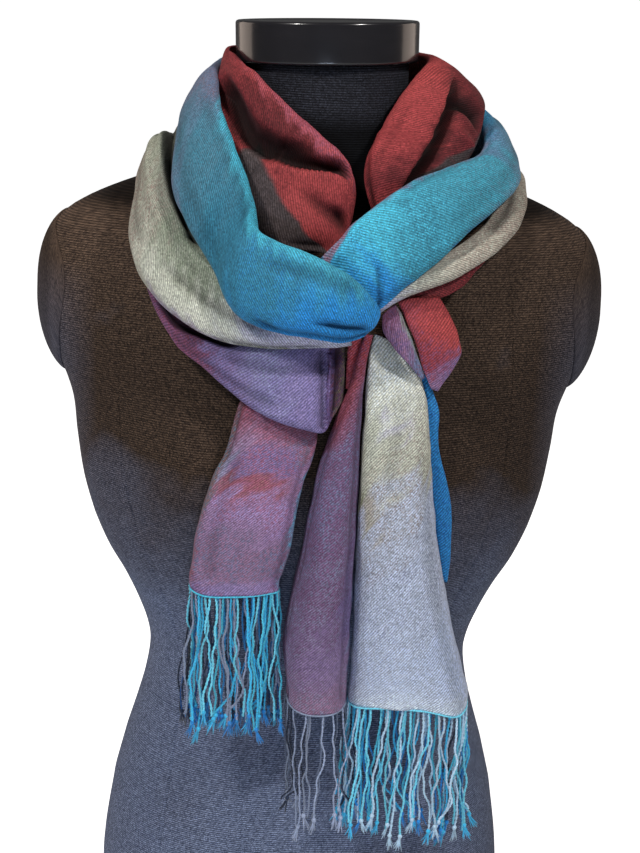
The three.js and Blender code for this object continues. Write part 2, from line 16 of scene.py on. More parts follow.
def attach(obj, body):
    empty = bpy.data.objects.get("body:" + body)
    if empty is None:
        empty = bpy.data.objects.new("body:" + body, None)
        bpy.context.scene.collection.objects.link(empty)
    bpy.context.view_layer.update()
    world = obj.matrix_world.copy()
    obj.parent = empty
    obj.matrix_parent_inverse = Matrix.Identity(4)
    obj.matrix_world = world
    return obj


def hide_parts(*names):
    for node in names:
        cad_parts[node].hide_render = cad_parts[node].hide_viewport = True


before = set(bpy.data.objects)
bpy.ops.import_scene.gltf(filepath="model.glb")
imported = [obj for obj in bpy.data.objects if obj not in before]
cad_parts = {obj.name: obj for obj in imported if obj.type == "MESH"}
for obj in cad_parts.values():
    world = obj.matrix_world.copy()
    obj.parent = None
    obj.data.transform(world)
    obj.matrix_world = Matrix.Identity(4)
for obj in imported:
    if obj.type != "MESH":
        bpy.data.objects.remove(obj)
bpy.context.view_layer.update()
MM = 0.001


# --- sizes, in millimetres ---

CLOTH_WALL = 1.1  # one doubled layer of the cloth
GRID_STEP = 1.7  # the cloth's mesh
TWILL_PITCH = 1.45  # from one diagonal rib of the weave to the next
RAGGED_ALONG = 1.3  # how far a dye's border strays along the cloth
RAGGED_ACROSS = 0.018  # and across it, as a share of its width
FLOAT_WIDE, FLOAT_LONG = 0.8, 0.95  # a float of the twill, across and along its rib
COURSE_PITCH = 1.5  # from one course of the form's jersey to the next
STITCH_WIDE, STITCH_HIGH = 0.8, 0.7  # a stitch of the form's jersey
PAINTED_SHADE_DEPTH, PAINTED_SHADE_LEAST = 3.1, 0.05  # painted shade: how fast the dye darkens in a trough, and how dark it grows
CROSS_FADE = 0.12  # share of the cloth over which a crosswise fold fades at its ends
DIAGONAL_BANDS = 0.4443  # scale of a diagonal wave texture whose bands are a metre apart
STRAIGHT_BANDS = math.pi / 10  # and of a straight one

NECK_RADIUS = 54
NECK_TOP = 660
NECK_TILT = math.radians(-1.6)
CAP_RADIUS = 60
CAP_HEIGHT = 26
CAP_EDGE = 2.0

ARM_PLANE = 181
ARM_HEIGHT = 500
ARM_SET_BACK = 6
ARM_TILT = math.radians(5)
ARM_CAP_HIGH = 53
ARM_CAP_DEEP = 46
ARM_CAP_BULGE = 11
ARM_CAP_RIM = 3
ARM_CUT_FOOT = 400  # below this height the torso's sides are left whole
ARM_CUT_SOFT = 0.8
ARM_CAP_LIP = 0.6
ARM_CAP_GAP = 0.3
ARM_CAP_LAP = 3.5  # its jersey edge is drawn this far over the torso's side
ARM_CAP_CURVE = 0.7
FORM_ROUND = 0.86  # 1 would make the form's sections ellipses
SEAM_TOP, SEAM_DEEP = 565, 0.9
SEAM_STEPS = np.array([-2.2, -1.2, -0.5, 0, 0.5, 1.2, 2.2])  # across a seam's groove

BUST_X, BUST_Z, BUST_WIDE, BUST_HIGH, BUST_REACH = 73, 398, 40, 44, 16


def table(text):
    """Rows of numbers, one to a line, as an array."""
    return np.array([[float(word) for word in line.split()] for line in text.strip().splitlines()])


def grouped(columns, text):
    """Rows under headings of one word, as numbers or, with named columns, as dicts."""
    groups = {}
    for line in text.strip().splitlines():
        words = [float(word) if word[-1].isdigit() else word for word in line.split()]
        if len(words) == 1:
            rows = groups[words[0]] = []
        else:
            rows.append(dict(zip(columns.split(), words)) if columns else words)
    return groups


# --- colours ---

def srgb(code):
    """A colour written as its six hex digits, made linear."""
    parts = [int(code[i:i + 2], 16) / 255 for i in (0, 2, 4)]
    return np.array([c / 12.92 if c <= 0.04045 else ((c + 0.055) / 1.055) ** 2.4 for c in parts])


def rgba(code):
    return (*srgb(code), 1)


DYE_CODES = """
cyan 45a6c0 teal 3a86a0 lake 4f8096 petrol 2f708c azure 2f86c4 royal 205fa8 slate 6a7ea2
haze 8288a4 lilac a99fc4 vapour c9cbdc sage a7ab9c moss 7f8a76 linen c6c9ba beige a99c90
taupe 8a7a72 cocoa 5e5254 umber 463c3c crimson 97393d scarlet b04a4a maroon 5c2026 rose a3566a
mauve 7d74a6 violet 655689 plum 735074 prune 57405f blush 98708e steel 93a0bc silver a8b2c6
dusk 6f7c98 navy 26344f sky 8ab8d8 ink 2e3440 rust 7a3840 olive 7d7f5e clay 8c6464 cobalt 2a94e4
turquoise 54cbea aqua 7ee4ff heather a491c4 chalk dadccf ice e8f4fc pearl c3cde2 mist adbbdb
garnet 3c1518 frost c6e6ff neon 46ccff
""".split()
DYES = dict(zip(DYE_CODES[::2], map(srgb, DYE_CODES[1::2])))


# --- tables ---

# The form, ring by ring: its height, half its width, its reach to the front and to the back.
FORM_RINGS = table("""
0 150 106 118
46 152 108 119
80 151 107 117
134 143 101 109
165 135 96 101
191 127 91 94
217 120 87 87
244 116 84 82
262 118 84 82
283 125 87 83
305 135 90 85
326 147 92 87
348 156 94 89
375 163 95 91
405 167 94 93
433 170 91 95
462 180 84 96
490 190 76 95
515 192 68 91
536 188 62 84
550 181 59 77
560 170 55 70
568 156 52 65
575 140 49 60
582 121 46 56
589 99 47 54
597 77 50 53
606 63 53 54
620 56 54 54
645 54 54 54
672 54 54 54
""")

# Each stretch of cloth runs from row to row. Edge a is its upper, inner or left edge, edge b the
# other one, and belly is how far the cloth arches out: ax ay az  bx by bz  belly.
ROWS = {piece: np.array(rows) for piece, rows in grouped(None, """
upper_loop
37 -112 517 30 -109 507 2
36 -118 524 28 -116 503 5
26 -124 537 14 -123 501 8
12 -124 547 -3 -124 503 10
-6 -119 554 -20 -121 504 11
-24 -112 559 -37 -118 508 12
-39 -104 566 -52 -113 517 13
-41 -94 578 -64 -104 538 13
-47 -84 595 -80 -93 561 13
-57 -71 615 -92 -77 582 12
-67 -51 636 -93 -56 606 10
-71 -25 650 -92 -26 622 7
-71 5 657 -88 5 629 6
-63 44 660 -84 52 616 9
-40 72 662 -55 88 605 14
0 83 657 0 102 596 14
44 77 648 58 96 590 14
82 52 639 102 62 589 12
102 15 631 122 18 601 9
106 -13 621 128 -18 592 8
101 -36 609 122 -42 583 8
84 -53 603 107 -62 573 9
66 -68 598 88 -80 559 10
51 -81 592 70 -92 543 10
33 -92 580 55 -100 533 9
21 -100 572 43 -106 522 6
12 -103 561 32 -108 514 5
1 -103 549 24 -106 507 3
lower_loop
20 -103 504 22 -100 494 2
8 -106 505 5 -103 492 3
-11 -106 509 -13 -105 491 4
-31 -102 517 -38 -106 491 6
-49 -94 531 -61 -105 495 9
-61 -85 545 -81 -100 503 11
-72 -75 561 -100 -90 515 12
-79 -65 577 -116 -76 532 13
-85 -53 592 -122 -62 552 13
-90 -40 607 -119 -45 578 11
-93 -20 616 -116 -20 595 9
-93 3 614 -114 3 597 9
-89 42 611 -112 53 576 11
-66 72 600 -84 92 548 12
-32 86 591 -42 111 536 12
10 90 585 12 117 531 12
52 82 580 64 110 532 12
86 62 582 104 82 544 10
106 38 591 128 50 574 8
117 8 594 136 6 586 5
116 -28 580 130 -46 568 4
101 -55 563 114 -67 552 5
84 -70 553 95 -81 541 5
65 -82 541 76 -91 533 5
51 -89 534 57 -95 526 4
37 -93 522 41 -97 516 3
29 -94 513 33 -96 507 2
collar
20 -76 571 9 -80 541 3
21 -74 586 1 -80 547 5
17 -70 602 -22 -80 550 8
1 -66 617 -44 -73 562 9
-22 -60 635 -58 -60 594 8
-41 -48 651 -65 -41 621 6
-54 -33 660 -68 -23 637 6
-65 0 667 -67 2 646 3
-49 45 668 -57 52 634 4
-19 64 668 -22 72 628 5
21 64 668 24 72 628 5
51 44 667 60 50 636 5
66 0 665 98.5 2 639.3 6
58 -31 656 102 -18.5 628 10
46 -46 641 95 -32 607 12
36 -58 624 83.5 -47 594 12
28 -66 608 66.3 -56.5 586 10
26 -69 593 55 -64 576 7
30 -71 578 48 -69 569 4
36 -70 563 48 -68 558 3
inner_fold
113 -49 566 116 -54 556 2
99 -62.3 556.5 105 -66.4 544 3
83 -72.4 546.6 91 -76.6 529 3
67 -80.4 537.6 75 -85.8 522 3
50 -86.4 528.6 54 -90 518 2
cross
-106 -62 530 -110 -68 518 3
-99 -70 519 -101 -79 503 5
-87 -78 509 -88 -90 486 7
-71 -85 501 -72 -98 476 8
-55 -90 496 -57 -105 465 9
-39 -93 494 -40 -110 454 9
-23 -96 495 -21 -114 446 8
-9 -97 495 -4 -116 442 7
1 -95 495 4 -114 440 6
7 -93 495 8 -109 441 4
12 -93 495 12 -108 449 4
17.4 -92 494 17.9 -103 458 3
knot
19.6 -97.2 498 28 -97 498 1
19.4 -99.4 482 27 -100.6 482 2
19.4 -101 466 24 -102 466 1
leaf_outer
49 -91 522 76 -88 523 3
53 -97 515 83 -92 513 4
58 -102 505 88 -96 502 5
63 -105 493 91 -99 491 5
67 -106 481 85 -101 480 4
73 -105 469 77 -103 467 2
leaf_inner
40 -98 513 48.2 -91 519 2
41 -104 504 52.2 -98 514 3
48 -108 495 57.2 -103 504 3
58 -109 485 62.2 -106 492 2
66 -108 475 68.2 -107 477 1
left_tail
-38 -97 474 7 -96 465 5
-48 -101 454 3 -99 437 7.3
-55 -108 427 0 -103 420 10
-63 -111 408 -5 -106 405 12
-69 -113 387 -9 -108 386 13
-74 -113 365 -12 -108 364 13
-76 -113 347 -16 -108 346 13
-77 -113 338 -19 -108 338 13
-77 -113 331 -19 -108 331 13
middle_tail
30 -101 502 35 -100 501 2
25 -104 486 31.5 -103 485 4
21 -105 467 30.4 -104 466 7
13 -106 444 30 -104 443 12
5 -106 416 29.8 -104 415 19
-1 -106 384 29.6 -104 383 26
-5 -106 356 29.2 -104 355 30
-11 -106 324 29 -104 323 32
-15 -106 295 28.8 -104 294 32
-14 -106 275 28.4 -104 275 32
-12 -106 263 28 -104 263 32
-12 -106 254 28 -104 254 32
right_tail
36 -94 500 46 -92 496 2
33 -98 483 62 -96 480 4
32 -102 461 70 -101 463 8
31.4 -104 434 74 -107 435 13
31 -104 403 77 -110 408 18
30.8 -104 371 81 -110 378 22
30.8 -104 336 88 -110 342 24
30.8 -104 300 96 -109 309 25
30.6 -104 276 104 -108 279 25
30 -104 263 109 -108 263 25
30 -104 254 109 -108 254 25
back_edge
60 -95 478 70 -97 476 1
65 -98 466 76 -99 462 2
68 -101 455 79 -101 452 2
71 -104 431 80 -104 430 2
75 -105 405 87 -105 406 2
79 -106 385 91 -106 386 2
83 -106 360 92 -106 357 2
87 -105 339 91 -105 338 1
""").items()}

# Folds: a soft trough (depth above 0) or ridge (below 0) from one row and place across the cloth
# (0 at edge a, 1 at edge b) to another. It reaches as far as side_a towards edge a and side_b
# towards edge b; a power of 2 makes it round and 1 makes it a sharp crease.
# A trough's depth also darkens the cloth's dye as painted shade, and a ridge brightens it a little as
# a painted highlight.
FOLDS = grouped("from_row from_across to_row to_across side_a side_b depth power", """
upper_loop
.2 .7 5.4 .86 5 3 3.4 1.4
.8 .56 3.4 .63 3 1.8 5 1.4
1.6 .3 5.6 .4 7 6 1.8 2
3.8 .9 5.4 .68 4 2.6 4 1.3
5.4 .26 11 .3 6 8 1.2 2
6.4 .66 11 .6 7 6 1.3 1.8
9.4 .8 12 .76 5 4 2 1.5
11.5 .4 18 .45 6 6 5 1.6
12 .7 17 .75 6 5 4.5 1.6
16 .34 19 .36 4 5 2 1.6
17 .56 23 .6 8 7 1.4 2
18.4 .16 24 .26 3 3 1.6 1.6
20.5 .84 26 .78 5 4 1.8 1.6
24.2 .18 27 .36 2 5 -2.6 1.6
24.9 .46 25.7 .94 3 1.8 3.4 1.4
lower_loop
.6 .8 4.6 .86 4 3 3 1.4
2.2 .48 6.6 .58 5 4 2.6 1.5
3.4 .33 6.6 .43 2 4 -2.4 1.5
5.6 .25 6.3 .42 5 2.6 11 1.6
5.6 .33 11.8 .4 10 2.2 12 2.4
6 .46 11 .56 2.5 3 -1.6 2
4.8 .86 9.4 .84 4 3 2 1.6
6.6 .62 11 .68 4 6 1.6 1.6
9.5 .5 16 .42 6 6 5 1.6
11 .78 18 .68 6 5 4 1.6
16 .4 21.5 .46 5 4 2.6 1.6
20 .16 25.5 .14 7 2 7 2
21 .56 25.6 .52 2 4 -1.2 1.8
collar
1.4 .19 3.6 .5 8 1.6 12 4
2.6 .36 4.9 .69 14 1.8 13 5
3.9 .56 6.3 .72 13 3 12 5
.2 .5 2.9 .49 3.5 5 4 1.7
-.2 .45 1.9 .48 3 4 5 1.6
.4 .72 2.6 .8 4 4 2 1.4
1.4 .34 2.4 .34 5 4 -1.6 1.8
7 .45 12 .5 6 6 3 1.8
12.4 .46 15.7 .53 1.8 6 13 2.2
14.7 .5 17.8 .66 1.8 6 13 2.2
13.3 .44 13.4 .84 9 3 9 2
13.95 .52 14 .84 3 5 -3 1.6
14.9 .66 17 .76 4 4 3.5 1.5
13.6 .24 18 .32 5 5 1.2 1.8
15.4 .02 19 .22 4 3 6 1.4
cross
.4 .62 4.6 .3 5 1.8 7 1.8
1.2 .76 6.4 .66 6 4 2 1.8
3.4 .5 9 .38 6 5 1.4 2
.6 .22 8.6 .06 3 3 4.5 1.6
8.25 .2 8.35 .88 4 1.2 4 1.4
9.2 .14 9.3 .92 2 2 -2 1.6
10.1 .2 10.2 .9 3 1.6 5 1.5
left_tail
-.2 .4 1.3 .6 30 30 5 3
1 .76 8.4 .86 5 3 1.4 1.6
1 .32 7 .36 6 6 1.4 2
2.5 .52 8.2 .56 5 6 -1.2 2
.2 .1 3 .08 4 4 3 1.6
middle_tail
1.5 .7 11 .76 4 5 1.8 1.8
3 .42 10 .4 9 10 -1 2
2 .12 11.6 .1 4 4 2.4 2
right_tail
1.2 .52 4.6 .48 7 7 1.2 2
2.6 .8 10.4 .78 9 8 1.4 2
4.5 .24 10.6 .2 9 9 1 2
5.5 .5 11 .48 10 10 -1.6 2
""")

# How the hems hang: place across the cloth and how far it is drawn up there.
HEM_LIFTS = grouped(None, """
left_tail
0 3
0.4 -1
0.7 0.5
1 0
right_tail
0 0
0.2 0
0.5 3.5
0.75 -2
1 1.5
""")
LEVEL_HEM = [[0, 0], [1, 0]]

# Dye: where a colour lies strongest along (row) and across the cloth, how far it reaches both
# ways, the yarn's colour and that of the flecks in it. Some patches are painted light and shade
# rather than dye, as noted below.
# Painted highlight: the bright turquoise patches at rows 4, 6 and 8.4 along the upper loop's inner
# edge brighten that edge.
# Painted highlight: the near-white patches at rows 4.5 and 6.4 of the lower loop light its ridge.
# Painted light: the near-white patches at rows 0 and 1.5 brighten the top of the right tail, where it
# faces up beneath the knot.
# Painted shade: the collar's dark maroon patches at rows 4.3, 12.4 to 14.8 and 16.4 darken its
# troughs.
# Partly painted light: the tails' bluish lowest rows are partly their dye and partly a painted bluish
# cast of light towards the hems.
PATCHES = grouped("row across reach_rows reach_across main fleck", """
upper_loop
0 .5 2.2 .6 cobalt azure
2 .7 2.2 .4 cobalt azure
3.6 .9 1.6 .3 cobalt azure
2.6 .2 1.4 .3 teal cyan
4 0 1.6 .3 turquoise cyan
5.4 .9 1.4 .3 azure teal
5 .5 1.4 .3 teal azure
6 0 1.6 .26 turquoise cyan
7 .6 1.8 .4 petrol teal
8.4 .06 1.6 .2 turquoise cyan
9 .6 1.6 .4 lake teal
9.6 .9 1.4 .3 slate rose
10.4 .6 .9 .4 lake slate
11 .3 1.2 .5 slate clay
12 .7 1.5 .5 haze teal
14 .3 2 .5 teal slate
16 .7 2 .5 lake haze
18 .1 1.4 .3 azure turquoise
18 .6 1.6 .5 lake slate
19.3 .3 1 .2 slate teal
19 .9 2.2 .3 lake haze
20.5 .06 2 .13 slate clay
21 .5 2 .4 cyan lake
21.6 .98 3.4 .12 royal navy
23 .08 1.8 .11 slate clay
23 .6 1.6 .4 teal turquoise
24.5 .3 1.2 .25 turquoise cyan
25.4 .85 1.4 .3 azure cobalt
26 .3 1.2 .3 turquoise teal
26.4 .7 1.6 .5 cobalt cobalt
lower_loop
0 .5 1.6 .6 vapour steel
2 .6 1.8 .4 vapour lilac
3 1 2 .18 olive moss
4 .2 1.6 .3 moss sage
4.5 .7 1.6 .2 chalk linen
5 .9 1.5 .15 lilac clay
6 .4 1.6 .3 moss sage
6.4 .66 1.2 .16 chalk linen
7.4 .85 1.6 .24 linen beige
8 .6 1.4 .3 sage clay
9 .3 1.6 .3 sage moss
9 .9 1.6 .3 beige clay
11 .6 1.6 .5 sage moss
14 .5 2.5 .6 sage haze
17 .5 2.5 .6 beige sage
20 .5 1.6 .6 taupe sage
22 .5 1.6 .6 beige linen
23.5 .6 1.2 .6 linen taupe
25 .7 1.2 .5 vapour lilac
collar
0 .2 1.5 .4 maroon crimson
1 .5 1.5 .3 crimson scarlet
3 0 2.5 .2 rose scarlet
3 .6 1.8 .2 scarlet crimson
4.3 .42 1.2 .14 maroon garnet
5 .5 2 .2 crimson maroon
6 0 2 .2 scarlet rose
7 .5 2 .5 crimson maroon
10 .5 3 .6 crimson maroon
13 .2 1.8 .3 scarlet crimson
12.4 .6 .9 .3 maroon garnet
13.1 .8 .8 .3 maroon garnet
13.9 .7 1.2 .14 maroon crimson
14.8 .56 1 .08 maroon garnet
15 .3 2.2 .3 crimson scarlet
16.4 .46 .8 .12 maroon garnet
18 .4 2 .5 crimson maroon
inner_fold
0 .5 2 .6 maroon crimson
3 .3 1.5 .5 maroon crimson
cross
0 .5 1.2 .6 plum maroon
1.5 .2 1.2 .3 maroon rust
2 .8 1.4 .3 plum rose
2.6 .4 .8 .2 prune maroon
3.5 .1 1.6 .13 maroon olive
4.4 .6 1.2 .4 mauve plum
5.5 .4 1.4 .5 mauve steel
5.8 .05 1.2 .1 prune olive
7 .6 1.6 .5 mauve heather
8 0 2.5 .1 plum rose
9.2 .5 .5 .6 violet plum
10.2 .5 .5 .5 prune rust
11 .6 .6 .8 umber olive
knot
0 .5 3 .6 crimson rose
leaf_outer
0 .5 1.2 .6 crimson maroon
1 .1 1.2 .4 crimson rose
2 .6 1 .4 scarlet crimson
3.2 .3 1 .4 crimson plum
4 .9 1 .4 mauve rose
5 .5 .8 .5 blush mauve
leaf_inner
0 .5 1.2 .6 plum rust
2 .2 1.2 .4 blush violet
2 .9 1.5 .16 moss steel
4 .5 1.2 .5 slate rust
left_tail
0 .3 1.5 .5 rust rose
1.2 .6 .8 .5 blush rose
1.9 .3 .5 .2 blush lilac
2.2 .5 .6 .3 mauve rose
2.5 .2 .5 .12 haze lilac
1.8 .7 .4 .14 haze rose
3 .04 1.8 .12 clay teal
3.1 .42 .45 .24 rose clay
3 .78 .8 .14 blush heather
4 .45 .8 .3 heather rose
4 .96 1.6 .08 slate turquoise
4.6 .3 .8 .3 blush slate
6 .03 2 .1 rose teal
6 .5 1.2 .4 blush slate
6 .95 2 .08 blush turquoise
7.3 .5 .9 .3 heather mauve
8 .3 1.2 .4 mauve rose
8 .75 1.2 .3 heather rose
8 .96 1.5 .08 mauve turquoise
middle_tail
0 .5 1.5 .6 crimson plum
2 .3 1.5 .5 rust rose
3 .7 1.5 .4 plum slate
5 .3 2 .4 plum slate
6 .6 2 .4 plum haze
6.6 .75 1.2 .14 violet mauve
8 .3 2 .4 plum haze
8.4 .5 1.4 .3 mauve blush
8 .95 2.5 .1 slate sky
10 .5 2.4 .5 blush haze
11 .98 2 .1 slate sky
right_tail
0 .5 1.2 .6 chalk ice
1.5 .5 1.2 .5 chalk ice
2.4 .7 1 .3 linen taupe
3 .2 1 .3 linen sage
2.6 .5 .3 .1 vapour lilac
3.2 .8 .6 .3 linen taupe
3.4 .08 .9 .1 olive sage
4.2 .14 .5 .14 olive sage
3.6 .4 .5 .2 linen beige
4.2 .6 .6 .25 pearl taupe
4.5 .36 .3 .1 beige sage
4.6 .9 .8 .2 pearl haze
5.2 .3 .6 .3 pearl taupe
6 .5 1 .5 pearl haze
8 .3 1.6 .4 pearl mist
8 .9 1.6 .3 mist pearl
10 .5 1.6 .6 pearl ice
back_edge
0 .5 2 .6 azure royal
4 .5 3 .6 azure royal
""")

# Bars of dye with a straight edge, which start beyond a line, on its b side where side is 1.
BARS = grouped("from_row from_across to_row to_across side main fleck", """
upper_loop
24.3 .1 27 .34 -1 haze rose
collar
.2 .86 2.2 .59 1 umber cocoa
2 .61 3.3 .53 1 umber cocoa
3.1 .54 4.1 .52 1 umber cocoa
13.1 .88 14.9 .615 1 umber cocoa
14.8 .62 16.2 .63 1 umber cocoa
16.1 .64 17.4 .72 1 umber rose
""")


# --- the cloth's surface ---

def along(rows, at):
    """The table's values at fractional rows, on smooth curves through them."""
    last = len(rows) - 1
    i = np.clip(np.floor(at).astype(int), 0, last - 1)
    s = (at - i)[:, None]
    p0, p1, p2, p3 = (rows[np.clip(i + k, 0, last)] for k in (-1, 0, 1, 2))
    bend = 2 * p0 - 5 * p1 + 4 * p2 - p3
    twist = 3 * (p1 - p2) + p3 - p0
    return p1 + 0.5 * s * (p2 - p0 + s * (bend + s * twist))


def middles(rows, at):
    values = along(rows, at)
    return (values[:, 0:3] + values[:, 3:6]) / 2


def outward(rows, at):
    """The normals of the cloth's sections, turned away from the form."""

    def across_run(at):
        run = middles(rows, at + 0.25) - middles(rows, at - 0.25)
        values = along(rows, at)
        normal = np.cross(run, values[:, 3:6] - values[:, 0:3])
        return normal / np.linalg.norm(normal, axis=1, keepdims=True)

    centre = np.array([(len(rows) - 1) / 2])
    away = middles(rows, centre)[0]
    away[2] = NECK_RADIUS
    hand = np.sign(across_run(centre)[0] @ away)
    return across_run(at) * hand, hand


def smooth_step(x):
    x = np.clip(x, 0, 1)
    return x * x * (3 - 2 * x)


def off_line(reach, line, axis):
    """How far each point of a grid lies from a line that crosses it, along its own row or column."""
    low = np.clip(line.astype(int), 0, reach.shape[axis] - 2)
    near, far = (np.take_along_axis(reach, np.expand_dims(low + k, axis), axis) for k in (0, 1))
    return reach - (near + (far - near) * np.expand_dims(line - low, axis))


def fold_depth(folds, at, across, points):
    """How far the folds push the cloth in, for each row (down) and place across it."""
    reach_down, reach_across = run_lengths(points, 0), run_lengths(points, 1)
    depth = np.zeros(points.shape[:2])
    for fold in folds:
        rows = np.array([fold["from_row"], fold["to_row"]])
        places = np.array([fold["from_across"], fold["to_across"]])
        if rows[1] - rows[0] >= 1:
            fade = (smooth_step(at - rows[0]) * smooth_step(rows[1] - at))[:, None]
            off = off_line(reach_across, np.interp(at, rows, places) * (len(across) - 1), 1)
        else:
            order = np.argsort(places)
            fade = smooth_step((across - places.min()) / CROSS_FADE)
            fade = fade * smooth_step((places.max() - across) / CROSS_FADE)
            line = np.interp(across, places[order], rows[order])
            off = off_line(reach_down, np.interp(line, at, np.arange(len(at))), 0)
        side = np.where(off < 0, fold["side_a"], fold["side_b"])
        depth += fold["depth"] * fade * np.exp(-np.abs(off / side) ** fold["power"])
    return depth


def cloth_surface(rows, at, across, folds, fullness, tuck):
    """The cloth's outer face as a grid of points, in millimetres."""
    angle = np.pi * (across * (1 + 2 * tuck) - tuck)
    c, s = np.cos(angle), np.sin(angle)
    share = 0.5 - 0.5 * np.sign(c) * np.abs(c) ** fullness
    arch = np.sign(s) * np.abs(s) ** fullness
    values = along(rows, at)
    a, b, belly = values[:, 0:3], values[:, 3:6], values[:, 6]
    out, hand = outward(rows, at)
    points = a[:, None] + (b - a)[:, None] * share[None, :, None]
    points = points + out[:, None] * (belly[:, None] * arch[None, :])[..., None]
    depth = np.zeros(points.shape[:2])
    if len(folds):
        depth = fold_depth(folds, at, across, points) * np.clip(arch + 0.4, 0, 1)[None, :]
        points = points - grid_normals(points, hand) * depth[..., None]
    return points, hand, depth


def grid_normals(points, hand):
    """Unit normals of a grid of points, on the side that faces out."""
    normal = np.cross(np.gradient(points, axis=0), np.gradient(points, axis=1)) * hand
    return normal / np.maximum(np.linalg.norm(normal, axis=2, keepdims=True), 1e-9)


def run_lengths(points, axis):
    """How far each point of a grid lies along its own line, in millimetres."""
    steps = np.linalg.norm(np.diff(points, axis=axis), axis=2)
    pad = [(1, 0), (0, 0)] if axis == 0 else [(0, 0), (1, 0)]
    return np.pad(np.cumsum(steps, axis=axis), pad)


def crumple(u, v, seed, size):
    """Small, uneven rises and dips along and across the cloth, in millimetres."""
    rng = random.Random(seed)
    height = np.zeros_like(u)
    for _ in range(14):
        turn = rng.uniform(0, math.pi)
        length = rng.uniform(14, 46)
        phase = rng.uniform(0, 2 * math.pi)
        height += np.sin((u * math.cos(turn) + v * math.sin(turn)) * 2 * math.pi / length + phase)
    return height * size / math.sqrt(14)


def yarns(row):
    """The colours of a row's yarn and flecks, one after the other."""
    return np.concatenate([DYES[row["main"]], DYES[row["fleck"]]])


def dye_at(patches, bars, at, across, seed):
    """The yarn's and the flecks' colour at each point of a grid.

    Patches blend with ragged borders, and a bar has a straight edge beyond which its dye starts.
    """
    rng = random.Random(seed)
    down = at[:, None]
    row = np.repeat(down, len(across), axis=1)
    place = np.repeat(across[None, :], len(at), axis=0)
    for _ in range(6):
        f, g, p, q = (rng.uniform(2, 9), rng.uniform(6, 40), rng.uniform(0, 6), rng.uniform(0, 6))
        row = row + 0.1 * np.sin(g * place + p + 1.4 * f * down)
        place = place + 0.016 * np.sin(1.7 * f * down + q + g * place)
    stray = np.random.default_rng(seed)
    rows_each_mm = np.gradient(at)[:, None] / GRID_STEP
    row = row + stray.normal(0, RAGGED_ALONG, row.shape) * rows_each_mm
    place = place + stray.normal(0, RAGGED_ACROSS, row.shape)
    total, dyed = 0, 0
    for patch in patches:
        far = ((row - patch["row"]) / patch["reach_rows"]) ** 2
        far += ((place - patch["across"]) / patch["reach_across"]) ** 2
        weight = (np.exp(-2.4 * far) + 1e-9 / (1 + far))[..., None]
        total = total + weight
        dyed = dyed + weight * yarns(patch)
    dyed = dyed / total
    for bar in bars:
        start, end = bar["from_row"], bar["to_row"]
        line = np.interp(at, [start, end], [bar["from_across"], bar["to_across"]])[:, None]
        share = smooth_step((across - line) * bar["side"] / 0.02 + 0.5)
        share = share * smooth_step((down - start) / 0.1) * smooth_step((end - down) / 0.1)
        dyed = dyed + share[..., None] * (yarns(bar) - dyed)
    return dyed[..., :3], dyed[..., 3:]


# --- meshes ---

def new_object(name, data):
    made = bpy.data.objects.new(name, data)
    bpy.context.scene.collection.objects.link(made)
    return made


def make_piece(name, verts, faces, material, solids, colours=None, uvs=None):
    """A mesh, given in millimetres, that rides on the part's one body in place of its solids."""
    mesh = bpy.data.meshes.new(name)
    mesh.vertices.add(len(verts))
    mesh.vertices.foreach_set("co", (verts * MM).astype(np.float32).ravel())
    corners = np.concatenate([np.asarray(part).ravel() for part in faces]).astype(np.int32)
    counts = np.concatenate([np.full(len(part), len(part[0])) for part in faces])
    mesh.loops.add(len(corners))
    mesh.loops.foreach_set("vertex_index", corners)
    mesh.polygons.add(len(counts))
    mesh.polygons.foreach_set("loop_start", (np.cumsum(counts) - counts).astype(np.int32))
    mesh.update(calc_edges=True)
    mesh.polygons.foreach_set("use_smooth", np.full(len(counts), True))
    for layer, values in (colours or {}).items():
        attribute = mesh.color_attributes.new(layer, "FLOAT_COLOR", "POINT")
        opaque = np.concatenate([values, np.ones((len(values), 1))], axis=1)
        attribute.data.foreach_set("color", opaque.astype(np.float32).ravel())
    if uvs is not None:
        layer = mesh.uv_layers.new(name="Weave")
        layer.data.foreach_set("uv", (uvs * MM)[corners].astype(np.float32).ravel())
    mesh.validate()
    mesh.materials.append(material)
    piece = new_object(name, mesh)
    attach(piece, "root")
    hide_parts(*solids)
    return piece


def ring_quads(rings):
    """Quads between closed rings of point numbers, one ring to a row."""
    after = np.roll(rings, -1, axis=1)
    return np.stack([rings[:-1], after[:-1], after[1:], rings[1:]], axis=-1).reshape(-1, 4)


def shell_faces(rows, columns):
    """Quads of two grids, an outer and an inner one, closed along their borders."""
    outer, inner = np.arange(2 * rows * columns).reshape(2, rows, columns)

    def strip(a, b):
        return np.stack([a[:-1], a[1:], b[1:], b[:-1]], axis=-1)

    around = ring_quads(np.concatenate([outer, inner[:, ::-1]], axis=1))[:, ::-1]
    return np.concatenate([around, strip(outer[0], inner[0]), strip(inner[-1], outer[-1])])


def reach_along(points):
    """How far each point lies along its line."""
    return np.concatenate([[0], np.cumsum(np.linalg.norm(np.diff(points, axis=0), axis=1))])


def even_rows(rows):
    """Fractional rows about a grid step apart along the cloth's middle."""
    fine = np.linspace(0, len(rows) - 1, 1500)
    reach = reach_along(middles(rows, fine))
    count = max(int(reach[-1] / GRID_STEP), 8)
    return np.interp(np.linspace(0, reach[-1], count), reach, fine)


